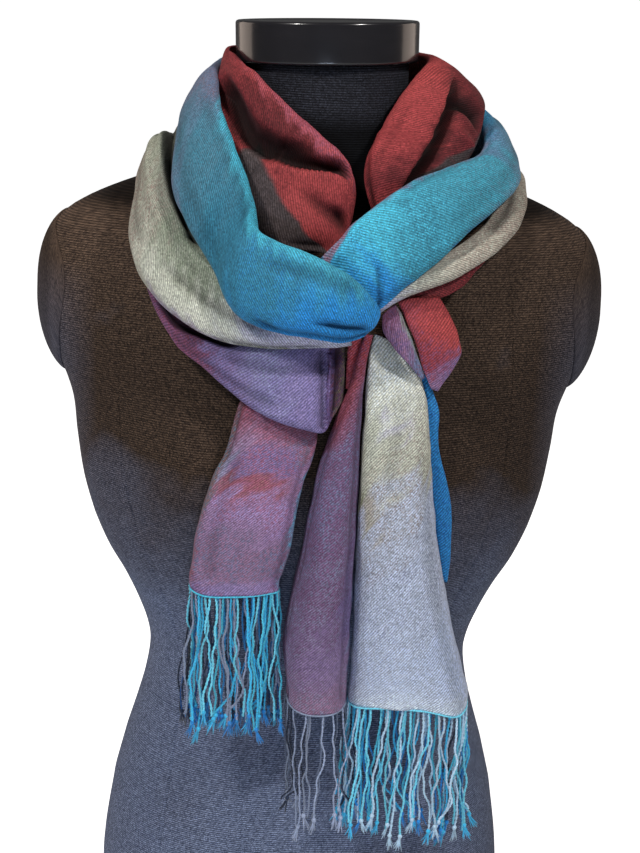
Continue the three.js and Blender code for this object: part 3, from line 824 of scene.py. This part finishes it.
def cloth_piece(name, stretch, material):
    """One stretch of cloth: a thin closed shell with its folds, dye and weave coordinates, its dye
    darkened in each trough as painted shade and lifted a little on each ridge as a painted highlight.
    """
    columns, seed = int(stretch["columns"]), int(stretch["seed"])
    rows, folds = ROWS[name], FOLDS.get(name, ())
    at = even_rows(rows)
    across = np.linspace(0, 1, columns)
    points, hand, depth = cloth_surface(rows, at, across, folds, stretch["round"], stretch["tuck"])
    u, v = run_lengths(points, 0), run_lengths(points, 1)
    v = v - v[:, columns // 2][:, None]
    u = np.repeat(u[:, columns // 2][:, None], columns, axis=1)
    rises = crumple(u, v, seed, stretch["crumple"])
    points = points + grid_normals(points, hand) * rises[..., None]
    hang = smooth_step((at - (len(rows) - 4)) / 3)
    points[..., 2] += hang[:, None] * lift_at(name, across)[None, :]
    inside = points - CLOTH_WALL * grid_normals(points, hand)
    verts = np.concatenate([points.reshape(-1, 3), inside.reshape(-1, 3)])
    faces = shell_faces(len(at), columns)
    if hand < 0:
        faces = faces[:, ::-1]
    # Painted shade: the dye darkens with each trough's depth, down to a floor; ridges brighten it a
    # little as a painted highlight.
    shade = np.clip(np.exp(-np.maximum(depth - 0.6, 0) / PAINTED_SHADE_DEPTH), PAINTED_SHADE_LEAST, 1)
    shade = (shade * (1 + 0.05 * np.clip(-depth, 0, 4)))[..., None]
    dyed = dye_at(PATCHES[name], BARS.get(name, ()), at, across, seed)
    colours = {layer: np.tile((colour * shade).reshape(-1, 3), (2, 1))
               for layer, colour in zip(("dye", "fleck"), dyed)}
    uvs = np.tile(np.stack([u, v], axis=-1).reshape(-1, 2), (2, 1))
    solids = [f"scarf_{solid}" for solid in stretch["solids"].split(",")]
    return make_piece(f"scarf_{name}", verts, [faces], material,
                      solids, colours, uvs)


# --- materials ---

class Nodes:
    """The node tree of a material or a world, with short ways to add nodes."""

    def __init__(self, owner, shader="Principled BSDF"):
        owner.use_nodes = True
        self.owner = owner
        self.tree = owner.node_tree
        self.shader = self.tree.nodes[shader]

    def feed(self, node, sockets):
        """Sets each socket to a value, or joins it to the output that feeds it."""
        for socket, source in sockets.items():
            if isinstance(source, bpy.types.NodeSocket):
                self.tree.links.new(source, node.inputs[socket])
            else:
                node.inputs[socket].default_value = source

    def add(self, kind, output, sockets, **settings):
        """The named output of a new node, or all of them where none is named."""
        node = self.tree.nodes.new("ShaderNode" + kind)
        for key, value in settings.items():
            setattr(node, key, value)
        self.feed(node, sockets)
        return node.outputs if output is None else node.outputs[output]

    def dye(self, layer):
        return self.add("Attribute", "Color", {}, attribute_name=layer)

    def weave(self):
        return self.add("UVMap", "UV", {}, uv_map="Weave")

    def place(self):
        return self.add("TexCoord", "Object", {})

    def parts(self, vector):
        return self.add("SeparateXYZ", None, {0: vector})

    def noise(self, vector, scale, detail, roughness=0.5):
        sockets = {"Vector": vector, "Scale": scale, "Detail": detail, "Roughness": roughness}
        return self.add("TexNoise", "Fac", sockets)

    def bands(self, vector, direction, scale, distortion):
        sockets = {"Vector": vector, "Scale": scale, "Distortion": distortion, "Detail": 1.0}
        return self.add("TexWave", "Fac", sockets, wave_type="BANDS", bands_direction=direction)

    def level(self, value, low, high, start=0.0, end=1.0):
        """A value between start and end, carried over to between low and high."""
        limits = {"From Min": start, "From Max": end, "To Min": low, "To Max": high}
        return self.add("MapRange", "Result", {"Value": value, **limits})

    def maths(self, operation, a, b=0.0, clamp=False):
        return self.add("Math", "Value", {0: a, 1: b}, operation=operation, use_clamp=clamp)

    def mix(self, share, first, second):
        return self.add("Mix", 2, {0: share, 6: first, 7: second}, data_type="RGBA")

    def scaled(self, colour, *levels):
        """A colour times the product of several levels."""
        level = reduce(partial(self.maths, "MULTIPLY"), levels)
        return self.add("VectorMath", "Vector", {0: colour, "Scale": level}, operation="SCALE")

    def bump(self, height):
        return self.add("Bump", "Normal", {"Height": height, "Strength": 0.5, "Distance": 0.0004})

    def finish(self, **values):
        """Sets the shader's sockets and hands the material over."""
        self.feed(self.shader, {key.replace("_", " "): value for key, value in values.items()})
        return self.owner


def cells(n, vector, wide, high, turn=0.0):
    """Even chances from 0 to 1, three for each small cell of a grid laid on the coordinates."""
    size = {"Vector": vector, "Rotation": (0, 0, turn), "Scale": (wide * MM, high * MM, 1)}
    grid = n.add("Mapping", "Vector", size, vector_type="TEXTURE")
    whole = n.add("VectorMath", "Vector", {0: grid}, operation="FLOOR")
    return n.parts(n.add("TexWhiteNoise", "Color", {"Vector": whole}, noise_dimensions="2D"))


def cloth_material(name, tint):
    """Twill of fine yarn: two dyes that mix float by float, diagonal ribs and a soft nap. The dye and
    fleck attributes also carry painted shade in troughs and painted highlights.
    """
    n = Nodes(bpy.data.materials.new(name))
    uv = n.weave()
    floats = cells(n, uv, FLOAT_WIDE, FLOAT_LONG, math.pi / 4)
    patches = n.noise(uv, 55.0, 4.0, 0.6)
    chance = n.maths("ADD", floats["X"], n.level(patches, -0.2, 0.2, 0.3, 0.7))
    mixed = n.mix(n.level(chance, 0.08, 0.74, 0.35, 1.0), n.dye("dye"), n.dye("fleck"))
    ribs = n.bands(uv, "DIAGONAL", DIAGONAL_BANDS / (TWILL_PITCH * MM), 0.8)
    colour = n.scaled(mixed, n.level(ribs, 0.66, 1.3), n.level(floats["Y"], 0.7, 1.3),
                      n.level(patches, 0.93, 1.07, 0.3, 0.7))
    nap = n.level(n.noise(uv, 1500.0, 1.0), 0.0, 0.5)
    return n.finish(Base_Color=colour, Normal=n.bump(n.maths("ADD", nap, ribs)), Roughness=0.72,
                    Sheen_Weight=0.1, Sheen_Roughness=0.45, Sheen_Tint=rgba(tint),
                    Specular_IOR_Level=0.25)


def jersey_material():
    """Dark knitted brown jersey, speckled, with painted bluish light that turns it slate on the hips
    and a painted bluish rim light on the flanks; painted shade darkens its right side and a band of
    the neck below the collar; it is greyer at the neck, darker from the chest down and darker on the
    arm caps.
    """
    n = Nodes(bpy.data.materials.new("jersey"))
    uv, place = n.weave(), n.place()
    stitches = cells(n, uv, STITCH_WIDE, STITCH_HIGH)
    courses = n.bands(uv, "Y", STRAIGHT_BANDS / (COURSE_PITCH * MM), 0.6)
    spot = n.parts(place)
    x, height = spot["X"], spot["Z"]
    aside = n.maths("ABSOLUTE", x)

    def yarn(low, high):
        """Stitches dyed between two colours."""
        return n.mix(n.level(stitches["X"], 0.0, 1.0, 0.1, 1.0), rgba(low), rgba(high))

    # Painted light: a slate blue yarn is mixed in below the waist and at the sides of the chest, with
    # a mottled border, to stand for bluish light on the hips and a bluish rim light on the flanks.
    stray = n.level(n.noise(place, 14.0, 4.0), -0.35, 0.1, 0.3, 0.7)
    hips = n.maths("ADD", n.level(height, 0.0, 1.1, 0.42, 0.29), stray)
    flanks = n.maths("MULTIPLY", n.level(aside, 0.0, 0.4, 0.145, 0.18),
                     n.level(height, 0.0, 1.0, 0.53, 0.46))
    painted_bluish_light = n.maths("MAXIMUM", hips, flanks, clamp=True)
    dyed = n.mix(painted_bluish_light, yarn("3a2f29", "705b4c"), yarn("6a7696", "aebde2"))
    dyed = n.mix(n.level(height, 0.0, 1.0, 0.57, 0.6), dyed, yarn("202025", "353740"))
    # Painted shadow: the jersey darkens to near black in a band of the neck just below the collar.
    painted_throat_shadow = n.maths("SUBTRACT", n.level(height, 0.0, 1.0, 0.56, 0.57),
                     n.level(height, 0.0, 1.0, 0.62, 0.634), clamp=True)
    # Painted shade: the form's right side is darker, by up to a third.
    colour = n.scaled(dyed, n.level(courses, 0.5, 1.42), n.level(height, 0.58, 1.0, 0.46, 0.55),
                      n.level(aside, 1.0, 0.6, 0.178, 0.183), n.level(x, 1.0, 0.66, 0.03, 0.15),
                      n.level(stitches["Y"], 0.65, 1.3), n.level(painted_throat_shadow, 1.0, 0.15))
    return n.finish(Base_Color=colour, Normal=n.bump(courses), Roughness=0.85, Sheen_Weight=0.06,
                    Sheen_Roughness=0.5, Sheen_Tint=rgba("a09aa4"), Specular_IOR_Level=0.12)


def lacquer_material():
    """Gloss black lacquer with faint brushed unevenness."""
    n = Nodes(bpy.data.materials.new("lacquer"))
    cloud = n.noise(n.place(), 60.0, 3.0)
    return n.finish(Base_Color=n.mix(cloud, rgba("16161b"), rgba("272529")),
                    Roughness=n.level(cloud, 0.16, 0.3), Coat_Weight=0.5, Coat_Roughness=0.08)


def thread_material():
    """Twisted yarn with its own dye."""
    n = Nodes(bpy.data.materials.new("thread"))
    fuzz = n.noise(n.place(), 1400.0, 2.0)
    return n.finish(Base_Color=n.scaled(n.dye("dye"), n.level(fuzz, 0.72, 1.25, 0.3, 0.75)),
                    Roughness=0.6, Sheen_Weight=0.3, Sheen_Roughness=0.4, Specular_IOR_Level=0.35)


# --- the dress form ---

def bust_reach(x, z):
    """How far the bust stands forward."""
    rise = np.exp(-((z - BUST_Z) / BUST_HIGH) ** 2)
    return BUST_REACH * rise * sum(np.exp(-((x - side * BUST_X) / BUST_WIDE) ** 2) for side in (-1, 1))


# Where the princess seams run: height, and how far out from the middle.
PRINCESS_SEAM = table("""
0 98
100 102
180 92
250 84
300 98
350 116
400 127
450 130
500 128
540 122
565 116
""")


def form_section(half, front, back, angle):
    """A ring of the torso; it is boxy below the shoulders and round at the neck."""
    round_ = FORM_ROUND + (1 - FORM_ROUND) * smooth_step((70 - half) / 12)
    c, s = np.cos(angle), np.sin(angle)
    x = half * np.sign(c) * np.abs(c) ** round_
    y = np.where(s < 0, front, back) * np.sign(s) * np.abs(s) ** round_
    return x, y, s


def seam_angle(half, z):
    """Where on its ring the front seam lies, measured from the side."""
    x = np.interp(z, PRINCESS_SEAM[:, 0], PRINCESS_SEAM[:, 1])
    return math.acos(min(x / half, 0.97) ** (1 / FORM_ROUND))


def torso_piece(material):
    heights = np.concatenate([[0, 0.6, 1.6, 3], np.arange(6, 600, 3.0), np.arange(600, 661, 4.0)])
    heights = np.append(heights, NECK_TOP)
    rings = along(FORM_RINGS, np.interp(heights, FORM_RINGS[:, 0], np.arange(len(FORM_RINGS))))
    verts, uvs = [], []
    for (_, half, front, back), z in zip(rings, heights):
        seam = seam_angle(half, z) if 0 < z < SEAM_TOP and half > 120 else math.pi / 3
        deep = SEAM_DEEP * smooth_step((SEAM_TOP + 1 - z) / 8) if half > 112 else 0.0
        quarter = np.array([0, seam, math.pi - seam])
        stations = [*quarter, *(quarter + math.pi), 2 * math.pi]
        near = SEAM_STEPS / max(half, 60)
        angles, depths = [], []
        for k, (station, after) in enumerate(zip(stations, stations[1:])):
            fill = np.linspace(station + near[-1], after + near[0], 26)[1:-1]
            groove = np.exp(-(SEAM_STEPS / 0.9) ** 2) * (deep if k % 3 else deep * 0.6)
            angles += [station + near, fill]
            depths += [groove, 0 * fill]
        angles, depths = np.concatenate(angles), np.concatenate(depths)
        x, y, s = form_section(half, front, back, angles)
        y = y - np.where(s < 0, bust_reach(x, z) * np.abs(s) ** 0.5, 0)
        x, y = x - np.cos(angles) * depths, y - np.sin(angles) * depths
        plane = arm_plane(z) if z > ARM_CUT_FOOT else 2 * half
        over = np.abs(x) - plane
        cut = np.where(over > -40, -np.log1p(np.exp(-over / ARM_CUT_SOFT)) * ARM_CUT_SOFT, over)
        x = np.sign(x) * (plane + cut)
        lip = 1.6 * math.exp(-z / 0.9)  # the base's edge is rounded a little
        x, y = x * (1 - lip / 150), y * (1 - lip / 110)
        tilted = z + x * math.tan(-NECK_TILT) * smooth_step((z - 640) / 20)
        verts.append(np.stack([x, y, tilted], axis=1))
        around = reach_along(np.stack([x, y], axis=1))
        uvs.append(np.stack([around, np.full_like(around, z)], axis=1))
    index = np.arange(len(verts) * len(verts[0])).reshape(len(verts), -1)
    faces = [ring_quads(index), index[:1, ::-1], index[-1:]]
    return make_piece("dress_form", np.concatenate(verts), faces, material,
                      ["form_torso"], uvs=np.concatenate(uvs))


def closed_rings(rings, first, last):
    """Quads between rings of point numbers, and a fan from a point at each of their ends."""
    fans = [np.stack([np.full(len(ring), point), ring, np.roll(ring, -1)], axis=1)
            for ring, point in ((rings[0][::-1], first), (rings[-1], last))]
    return [ring_quads(rings), np.concatenate(fans)]


def neck_cap_piece(material):
    """A round lid with softened edges and a faint step in its top."""
    flat, high, top = CAP_RADIUS - CAP_EDGE, CAP_HEIGHT - CAP_EDGE, CAP_HEIGHT - 0.6
    bend = CAP_EDGE * np.exp(1j * np.linspace(0, math.pi / 2, 7))
    lower = [(flat + b.imag, CAP_EDGE - b.real) for b in bend]
    upper = [(flat + b.real, high + b.imag) for b in bend]
    profile = [(flat, 0), *lower, *upper, (CAP_RADIUS - 8, CAP_HEIGHT), (CAP_RADIUS - 9, top)]
    sides = 160
    turn = np.arange(sides) * 2 * math.pi / sides
    rings = [np.stack([r * np.cos(turn), r * np.sin(turn), h + 0 * turn], axis=1)
             for r, h in profile]
    verts = np.concatenate([*rings, [[0, 0, 0], [0, 0, top]]])
    index = np.arange(len(rings) * sides).reshape(-1, sides)
    tilt = np.array(Matrix.Rotation(NECK_TILT, 3, "Y"))
    verts = (verts + [0, 0, ARM_CAP_GAP]) @ tilt.T + [0, 0, NECK_TOP]
    return make_piece("neck_cap", verts, closed_rings(index, len(verts) - 2, len(verts) - 1),
                      material, ["form_neck_cap"])


def arm_plane(z):
    """How far out the torso's sides are cut off flat at a height."""
    return ARM_PLANE - math.tan(ARM_TILT) * (ARM_HEIGHT - z)


def torso_side(y, z):
    """How far out the torso's side lies at each place beside the armhole."""
    rows = np.interp(z, FORM_RINGS[:, 0], np.arange(len(FORM_RINGS)))
    _, half, front, back = along(FORM_RINGS, rows).T
    s = (np.abs(y) / np.where(y < 0, front, back)) ** (1 / FORM_ROUND)
    return np.minimum(half * np.clip(1 - s ** 2, 0, 1) ** (FORM_ROUND / 2), arm_plane(z))


def arm_cap_piece(side, material):
    """A shallow dome over the armhole, whose rim lies on the torso's curved side."""
    sides = 96
    reach = np.sin(np.linspace(0, math.pi / 2, 26))[1:, None]
    turn = np.arange(sides) * 2 * math.pi / sides
    y = ARM_SET_BACK + reach * np.sin(turn) * ARM_CAP_DEEP
    z = ARM_HEIGHT + reach * np.cos(turn) * (ARM_CAP_HIGH + ARM_CAP_LAP)
    inside = torso_side(y.ravel(), z.ravel()).reshape(y.shape) + ARM_CAP_GAP
    rim = inside[-1:] + ARM_CAP_LIP
    top = ARM_PLANE + ARM_CAP_RIM + ARM_CAP_BULGE
    outside = rim + (top - rim) * (1 - reach ** 2) ** ARM_CAP_CURVE
    grids = [np.stack([x, y, z], axis=2).reshape(-1, 3) for x in (outside, inside)]
    poles = [[x, ARM_SET_BACK, ARM_HEIGHT] for x in (top, ARM_PLANE + ARM_CAP_GAP)]
    verts = np.concatenate([*grids, poles])
    index = np.arange(2 * y.size).reshape(2, *y.shape)
    rings = np.concatenate([index[0], index[1][::-1]])
    faces = closed_rings(rings, len(verts) - 2, len(verts) - 1)
    if side > 0:
        faces = [part[:, ::-1] for part in faces]
    flat = np.hypot(verts[:, 1] - ARM_SET_BACK, verts[:, 2] - ARM_HEIGHT)
    uvs = verts[:, 1:] * (1 + 0.5 * (top - verts[:, 0]) / np.maximum(flat, 8))[:, None]
    word = "left" if side < 0 else "right"
    return make_piece(f"arm_cap_{word}", verts * [side, 1, 1], faces, material,
                      [f"form_arm_cap_{word}"], uvs=uvs)


# --- fringe ---

def frames_along(path):
    """Two directions square to a path at each of its points."""
    run = np.gradient(path, axis=0)
    run /= np.linalg.norm(run, axis=1, keepdims=True)
    side = np.cross(run, [0.0, 1.0, 0.05])
    side /= np.linalg.norm(side, axis=1, keepdims=True)
    return side, np.cross(run, side)


def tube(path, radius, sides=6, flat=0.0, twist=0.0):
    """A closed tube; flat draws its section in at two sides, and twist turns it along the path."""
    side, up = frames_along(path)
    turn = np.arange(sides) * 2 * math.pi / sides
    reach = np.outer(radius, 1 - flat * np.abs(np.sin(turn)))
    spin = np.reshape(twist, (-1, 1)) + turn
    ring = path[:, None] + reach[..., None] * (np.cos(spin)[..., None] * side[:, None]
                                               + np.sin(spin)[..., None] * up[:, None])
    index = np.arange(len(path) * sides).reshape(len(path), sides)
    ends = [index[0][::-1], index[-1]]
    caps = np.array([[e[0], e[k], e[k + 1]] for e in ends for k in range(1, sides - 1)])
    return ring.reshape(-1, 3), ring_quads(index), caps


def fringe_piece(tail, threads, material):
    """Many small tubes joined as one mesh, each with its own dye."""
    tubes, colours = zip(*threads)
    starts = np.cumsum([0] + [len(verts) for verts, _, _ in tubes])
    faces = [np.concatenate([tube[k] + start for tube, start in zip(tubes, starts)]) for k in (1, 2)]
    dye = np.concatenate([np.tile(c, (len(tube[0]), 1)) for tube, c in zip(tubes, colours)])
    return make_piece(f"fringe_{tail}", np.concatenate([tube[0] for tube in tubes]), faces,
                      material, [f"scarf_fringe_{tail}"], {"dye": dye})


def cord_path(top, tip, sway, curl, rng):
    """A thread's way down from the hem to its tip, with a few lazy bends and a curl at its end."""
    t = np.linspace(0, 1, int(np.linalg.norm(top - tip) / 1.1))
    drop = top + (tip - top) * np.stack([smooth_step(t * 0.9 + 0.05), smooth_step(t), t], axis=1)
    fade = np.sin(np.pi * t)
    for waves in (1, 2, 3.5, 6):
        phase = rng.uniform(0, 6.28)
        size = sway * rng.uniform(0.3, 1.0) / waves
        drop[:, 0] += size * fade * np.sin(waves * 2 * math.pi * t * 0.9 + phase)
        drop[:, 1] += 0.4 * size * fade * np.cos(waves * 2 * math.pi * t * 0.8 + phase)
    turn = smooth_step((t - 0.72) / 0.28)
    drop[:, 0] += curl * turn
    drop[:, 2] += 0.6 * abs(curl) * turn ** 3
    return drop


def tuft(tip, lean, colour, rng):
    """The knot at a thread's end, with the loose yarn below it."""
    knot = np.array([tip + [0, 0, 1.6], tip + [0, 0, 0.2], tip - [0, 0, 1.6]])
    strands = [(tube(knot, np.array([0.9, 1.7, 1.0]), 6), colour)]
    for _ in range(9):
        length = rng.uniform(7, 12)
        t = np.linspace(0, 1, 5)
        spread = np.array([rng.uniform(-3.0, 3.0) + lean, rng.uniform(-1.4, 1.4), 0])
        path = tip + np.outer(t, [0, 0, -length]) + np.outer(t ** 1.3, spread)
        shade = colour * rng.uniform(0.6, 1.2)
        strands.append((tube(path, 0.62 * (1.05 - 0.75 * t), 4), shade))
    return strands


# --- stage, light and camera ---

CAMERA_PLACE = Vector((0.004, -0.950, 0.708))
CAMERA_PITCH = math.radians(17.5)
CAMERA_ROLL = math.radians(2.1)
CAMERA_LENS = 59.09

WORLD_LIGHT = 0.08
PAPER_GLOW = 0.95  # the floor is lit for the camera alone, and throws no light on the cloth
FLOOR_REACH = 250.0
CHEST = (0, -0.08, 0.46)
HIPS = (0, -0.1, 0.12)
CAP = (0, 0, 0.67)
WARM = (1.0, 0.965, 0.92)
AMBER = (1.0, 0.82, 0.7)
COOL = (0.66, 0.8, 1.0)
# name, place, aim, width, height in metres, watts, colour
LIGHTS = [
    ("key_left", (-1.0, -0.98, 1.95), CHEST, 0.2, 0.2, 19.0, WARM),
    ("key_right", (1.02, -0.96, 1.92), CHEST, 0.2, 0.2, 18.0, WARM),
    ("low", (0.0, -1.5, 0.12), HIPS, 0.4, 0.2, 3.2, COOL),
    ("side_left", (-1.1, 0.7, 0.75), CAP, 0.8, 0.8, 2.4, AMBER),
    ("side_right", (1.1, 0.7, 0.75), CAP, 0.8, 0.8, 2.2, AMBER),
]


def camera():
    data = bpy.data.cameras.new("camera")
    data.lens = CAMERA_LENS
    data.sensor_width = 36
    data.clip_end = 600
    eye = new_object("camera", data)
    pitch = Matrix.Rotation(math.pi / 2 - CAMERA_PITCH, 4, "X")
    roll = Matrix.Rotation(CAMERA_ROLL, 4, "Z")
    eye.matrix_world = Matrix.Translation(CAMERA_PLACE) @ pitch @ roll
    bpy.context.scene.camera = eye


def area_light(name, place, target, width, height, power, colour):
    data = bpy.data.lights.new(name, "AREA")
    data.shape = "RECTANGLE"
    data.size, data.size_y = width, height
    data.energy = power
    data.color = colour
    lamp = new_object(name, data)
    turn = (Vector(target) - Vector(place)).to_track_quat("-Z", "Y").to_matrix().to_4x4()
    lamp.matrix_world = Matrix.Translation(place) @ turn
    lamp.visible_camera = False


def stage():
    white = (1, 1, 1, 1)
    n = Nodes(bpy.data.materials.new("paper"))
    shade = n.level(n.add("TexNoise", "Fac", {"Scale": 3.0}), 0.86, 0.9)
    glow = n.maths("MULTIPLY", n.add("LightPath", "Is Camera Ray", {}), PAPER_GLOW)
    paper = n.finish(Base_Color=shade, Emission_Strength=glow, Roughness=0.9, Emission_Color=white)
    mesh = bpy.data.meshes.new("floor")
    corners = [(x * FLOOR_REACH, y * FLOOR_REACH, 0) for x, y in ((-1, -1), (1, -1), (1, 1), (-1, 1))]
    mesh.from_pydata(corners, [], [(0, 1, 2, 3)])
    mesh.materials.append(paper)
    new_object("floor", mesh)
    sky = Nodes(bpy.data.worlds.new("studio"), "Background")
    seen = sky.add("LightPath", "Is Camera Ray", {})
    bpy.context.scene.world = sky.finish(Color=white, Strength=sky.level(seen, WORLD_LIGHT, 1.0))
    bpy.context.scene.view_settings.view_transform = "Standard"
    for light in LIGHTS:
        area_light(*light)


# --- the scarf ---

# Each stretch of the scarf: its cloth, the seed of its crumples, its mesh's columns, how round
# its section is, how far its edges tuck under, how crumpled it is, the flat size in metres of what
# shows, how it is held, what it rests on, and the solids that it stands for, all named scarf_.
STRETCHES = grouped("cloth seed columns round tuck crumple wide long held rests_on solids", """
upper_loop
teal 3 72 .85 .16 .3 0.064 0.82 draped scarf_lower_loop,scarf_collar upper_left,upper_back,upper_right
lower_loop
sage 5 72 .85 .13 .3 0.052 0.83 draped dress_form lower_left,lower_back,lower_right
collar
crimson 7 72 .85 .1 .3 0.054 0.57 draped dress_form collar_left,collar_back,collar_right
inner_fold
crimson 9 30 .85 0 .3 0.018 0.085 draped dress_form right_inner
cross
mauve 11 72 .85 .1 .3 0.043 0.176 draped dress_form cross_wrap
knot
crimson 13 14 .85 0 .1 0.010 0.033 gathered scarf_cross knot_core
leaf_outer
crimson 15 40 .85 0 .3 0.027 0.064 gathered scarf_knot outer_leaf
leaf_inner
mauve 17 26 .85 0 .3 0.012 0.052 gathered scarf_knot inner_leaf
left_tail
rose 19 72 .6 0 .3 0.067 0.147 gathered dress_form tail_left
middle_tail
plum 21 84 .85 .06 .3 0.070 0.253 gathered dress_form tail_middle
right_tail
silver 23 90 .6 0 .3 0.073 0.253 gathered dress_form tail_right
back_edge
azure 25 12 .85 0 .15 0.011 0.143 gathered scarf_right_tail tail_edge
""")

SHEEN_TINTS = {"teal": "9fd8ea", "sage": "e4e4da", "crimson": "d08a90", "mauve": "b9aed6",
               "rose": "d8b6cc", "plum": "b494b4", "silver": "dfe2ee", "azure": "8cc4ee"}


# Threads of a fringe: how many pairs, how deep behind the hem, their reach, their sway, how thick
# they are, and the colours of their cords and of the tufts at their ends.
FRINGES = grouped("pairs behind low high sway thick cords tufts", """
left
13 0.8 84 100 3.4 1 neon-turquoise-aqua-neon-steel neon-cobalt
12 3.5 80 98 3 0.95 neon-azure-mist-navy cobalt-azure
12 7 78 94 2.6 0.9 navy-steel-ink-royal navy-azure
middle
5 0.8 76 88 3 0.85 mist-steel steel-mist
5 6 68 82 2.6 0.85 dusk-steel-navy steel-navy
right
11 0.8 82 98 3.6 1 frost-aqua-frost-frost-aqua frost-neon
13 3.5 78 94 3.2 1 neon-turquoise-frost-aqua neon-cobalt
12 7 74 90 2.8 0.9 cobalt-neon-azure-navy azure-cobalt
""")
FRINGE_SLOTS = {"left": "fringe_cyan", "middle": "fringe_grey", "right": "fringe_cyan"}
HEM_THREADS = {"left": "turquoise", "middle": "steel", "right": "aqua"}
CURL_SHARE, CURL_REACH = 0.2, 9.0
TWIST_PITCH = 6.0


def hem_line(tail, across):
    """The tail's hem as points, as it hangs, and the way out from the form."""
    name = f"{tail}_tail"
    rows, stretch = ROWS[name], STRETCHES[name][0]
    last = np.array([len(rows) - 1.0])
    hem = cloth_surface(rows, last, across, (), stretch["round"], stretch["tuck"])[0][0]
    hem[:, 2] += lift_at(name, across)
    return hem, outward(rows, last)[0][0]


def lift_at(name, across):
    lifts = np.array(HEM_LIFTS.get(name, LEVEL_HEM), float)
    at = np.interp(across, lifts[:, 0], np.arange(len(lifts)))
    return along(lifts, np.atleast_1d(at))[:, 1]


def fringes(material):
    threads = {tail: [] for tail in FRINGE_SLOTS}
    rng = random.Random(41)
    for tail, band in ((tail, band) for tail, bands in FRINGES.items() for band in bands):
        hem, out = hem_line(tail, np.linspace(0.02, 0.98, 400))
        hem = hem - out * band["behind"]
        walked = reach_along(hem)
        pairs = int(band["pairs"])
        cords, ends = band["cords"].split("-"), band["tufts"].split("-")

        def at_hem(place):
            return np.array([np.interp(place, walked, hem[:, i]) for i in range(3)])

        for k in range(pairs):
            place = (k + rng.uniform(0.2, 0.8)) / pairs * walked[-1]
            half = walked[-1] / pairs * rng.uniform(0.18, 0.6)
            reach = rng.uniform(band["low"], band["high"])
            curl = rng.choice((-1, 1)) * CURL_REACH if rng.random() < CURL_SHARE else 0.0
            tip = at_hem(place) + [rng.uniform(-6.0, 6.0), 0, -reach]
            for sign in (-1, 1):
                colour = DYES[cords[rng.randrange(len(cords))]] * rng.uniform(0.8, 1.15)
                split = rng.choice((0.6, 0.6, 3.5))
                path = cord_path(at_hem(np.clip(place + sign * half, 0, walked[-1])),
                                 tip + [sign * split, 0, rng.uniform(-3, 3)], band["sway"],
                                 curl, rng)
                twist = np.linspace(0, 2 * math.pi * reach / TWIST_PITCH, len(path))
                cord = tube(path, np.full(len(path), band["thick"]), 6, 0.4, twist)
                threads[tail].append((cord, colour))
                end = DYES[ends[rng.randrange(len(ends))]]
                if sign > 0 or split > 1:
                    lean = rng.uniform(-3, 3) + 0.4 * curl
                    threads[tail] += tuft(path[-1], lean, end, rng)
    made = {}
    for tail in threads:
        line = hem_line(tail, np.linspace(0.0, 1.0, 90))[0] + [0, 0, -0.2]
        threads[tail].append((tube(line, np.full(len(line), 0.6), 6), DYES[HEM_THREADS[tail]]))
        made[f"fringe_{tail}"] = fringe_piece(tail, threads[tail], material)
    return made


def main():
    camera()
    stage()
    jersey = jersey_material()
    torso_piece(jersey)
    neck_cap_piece(lacquer_material())
    for side in (-1, 1):
        arm_cap_piece(side, jersey)
    cloths = {name: cloth_material(f"cloth_{name}", tint) for name, tint in SHEEN_TINTS.items()}
    made = {name: cloth_piece(name, stretch, cloths[stretch["cloth"]])
            for name, (stretch,) in STRETCHES.items()}
    made.update(fringes(thread_material()))


main()
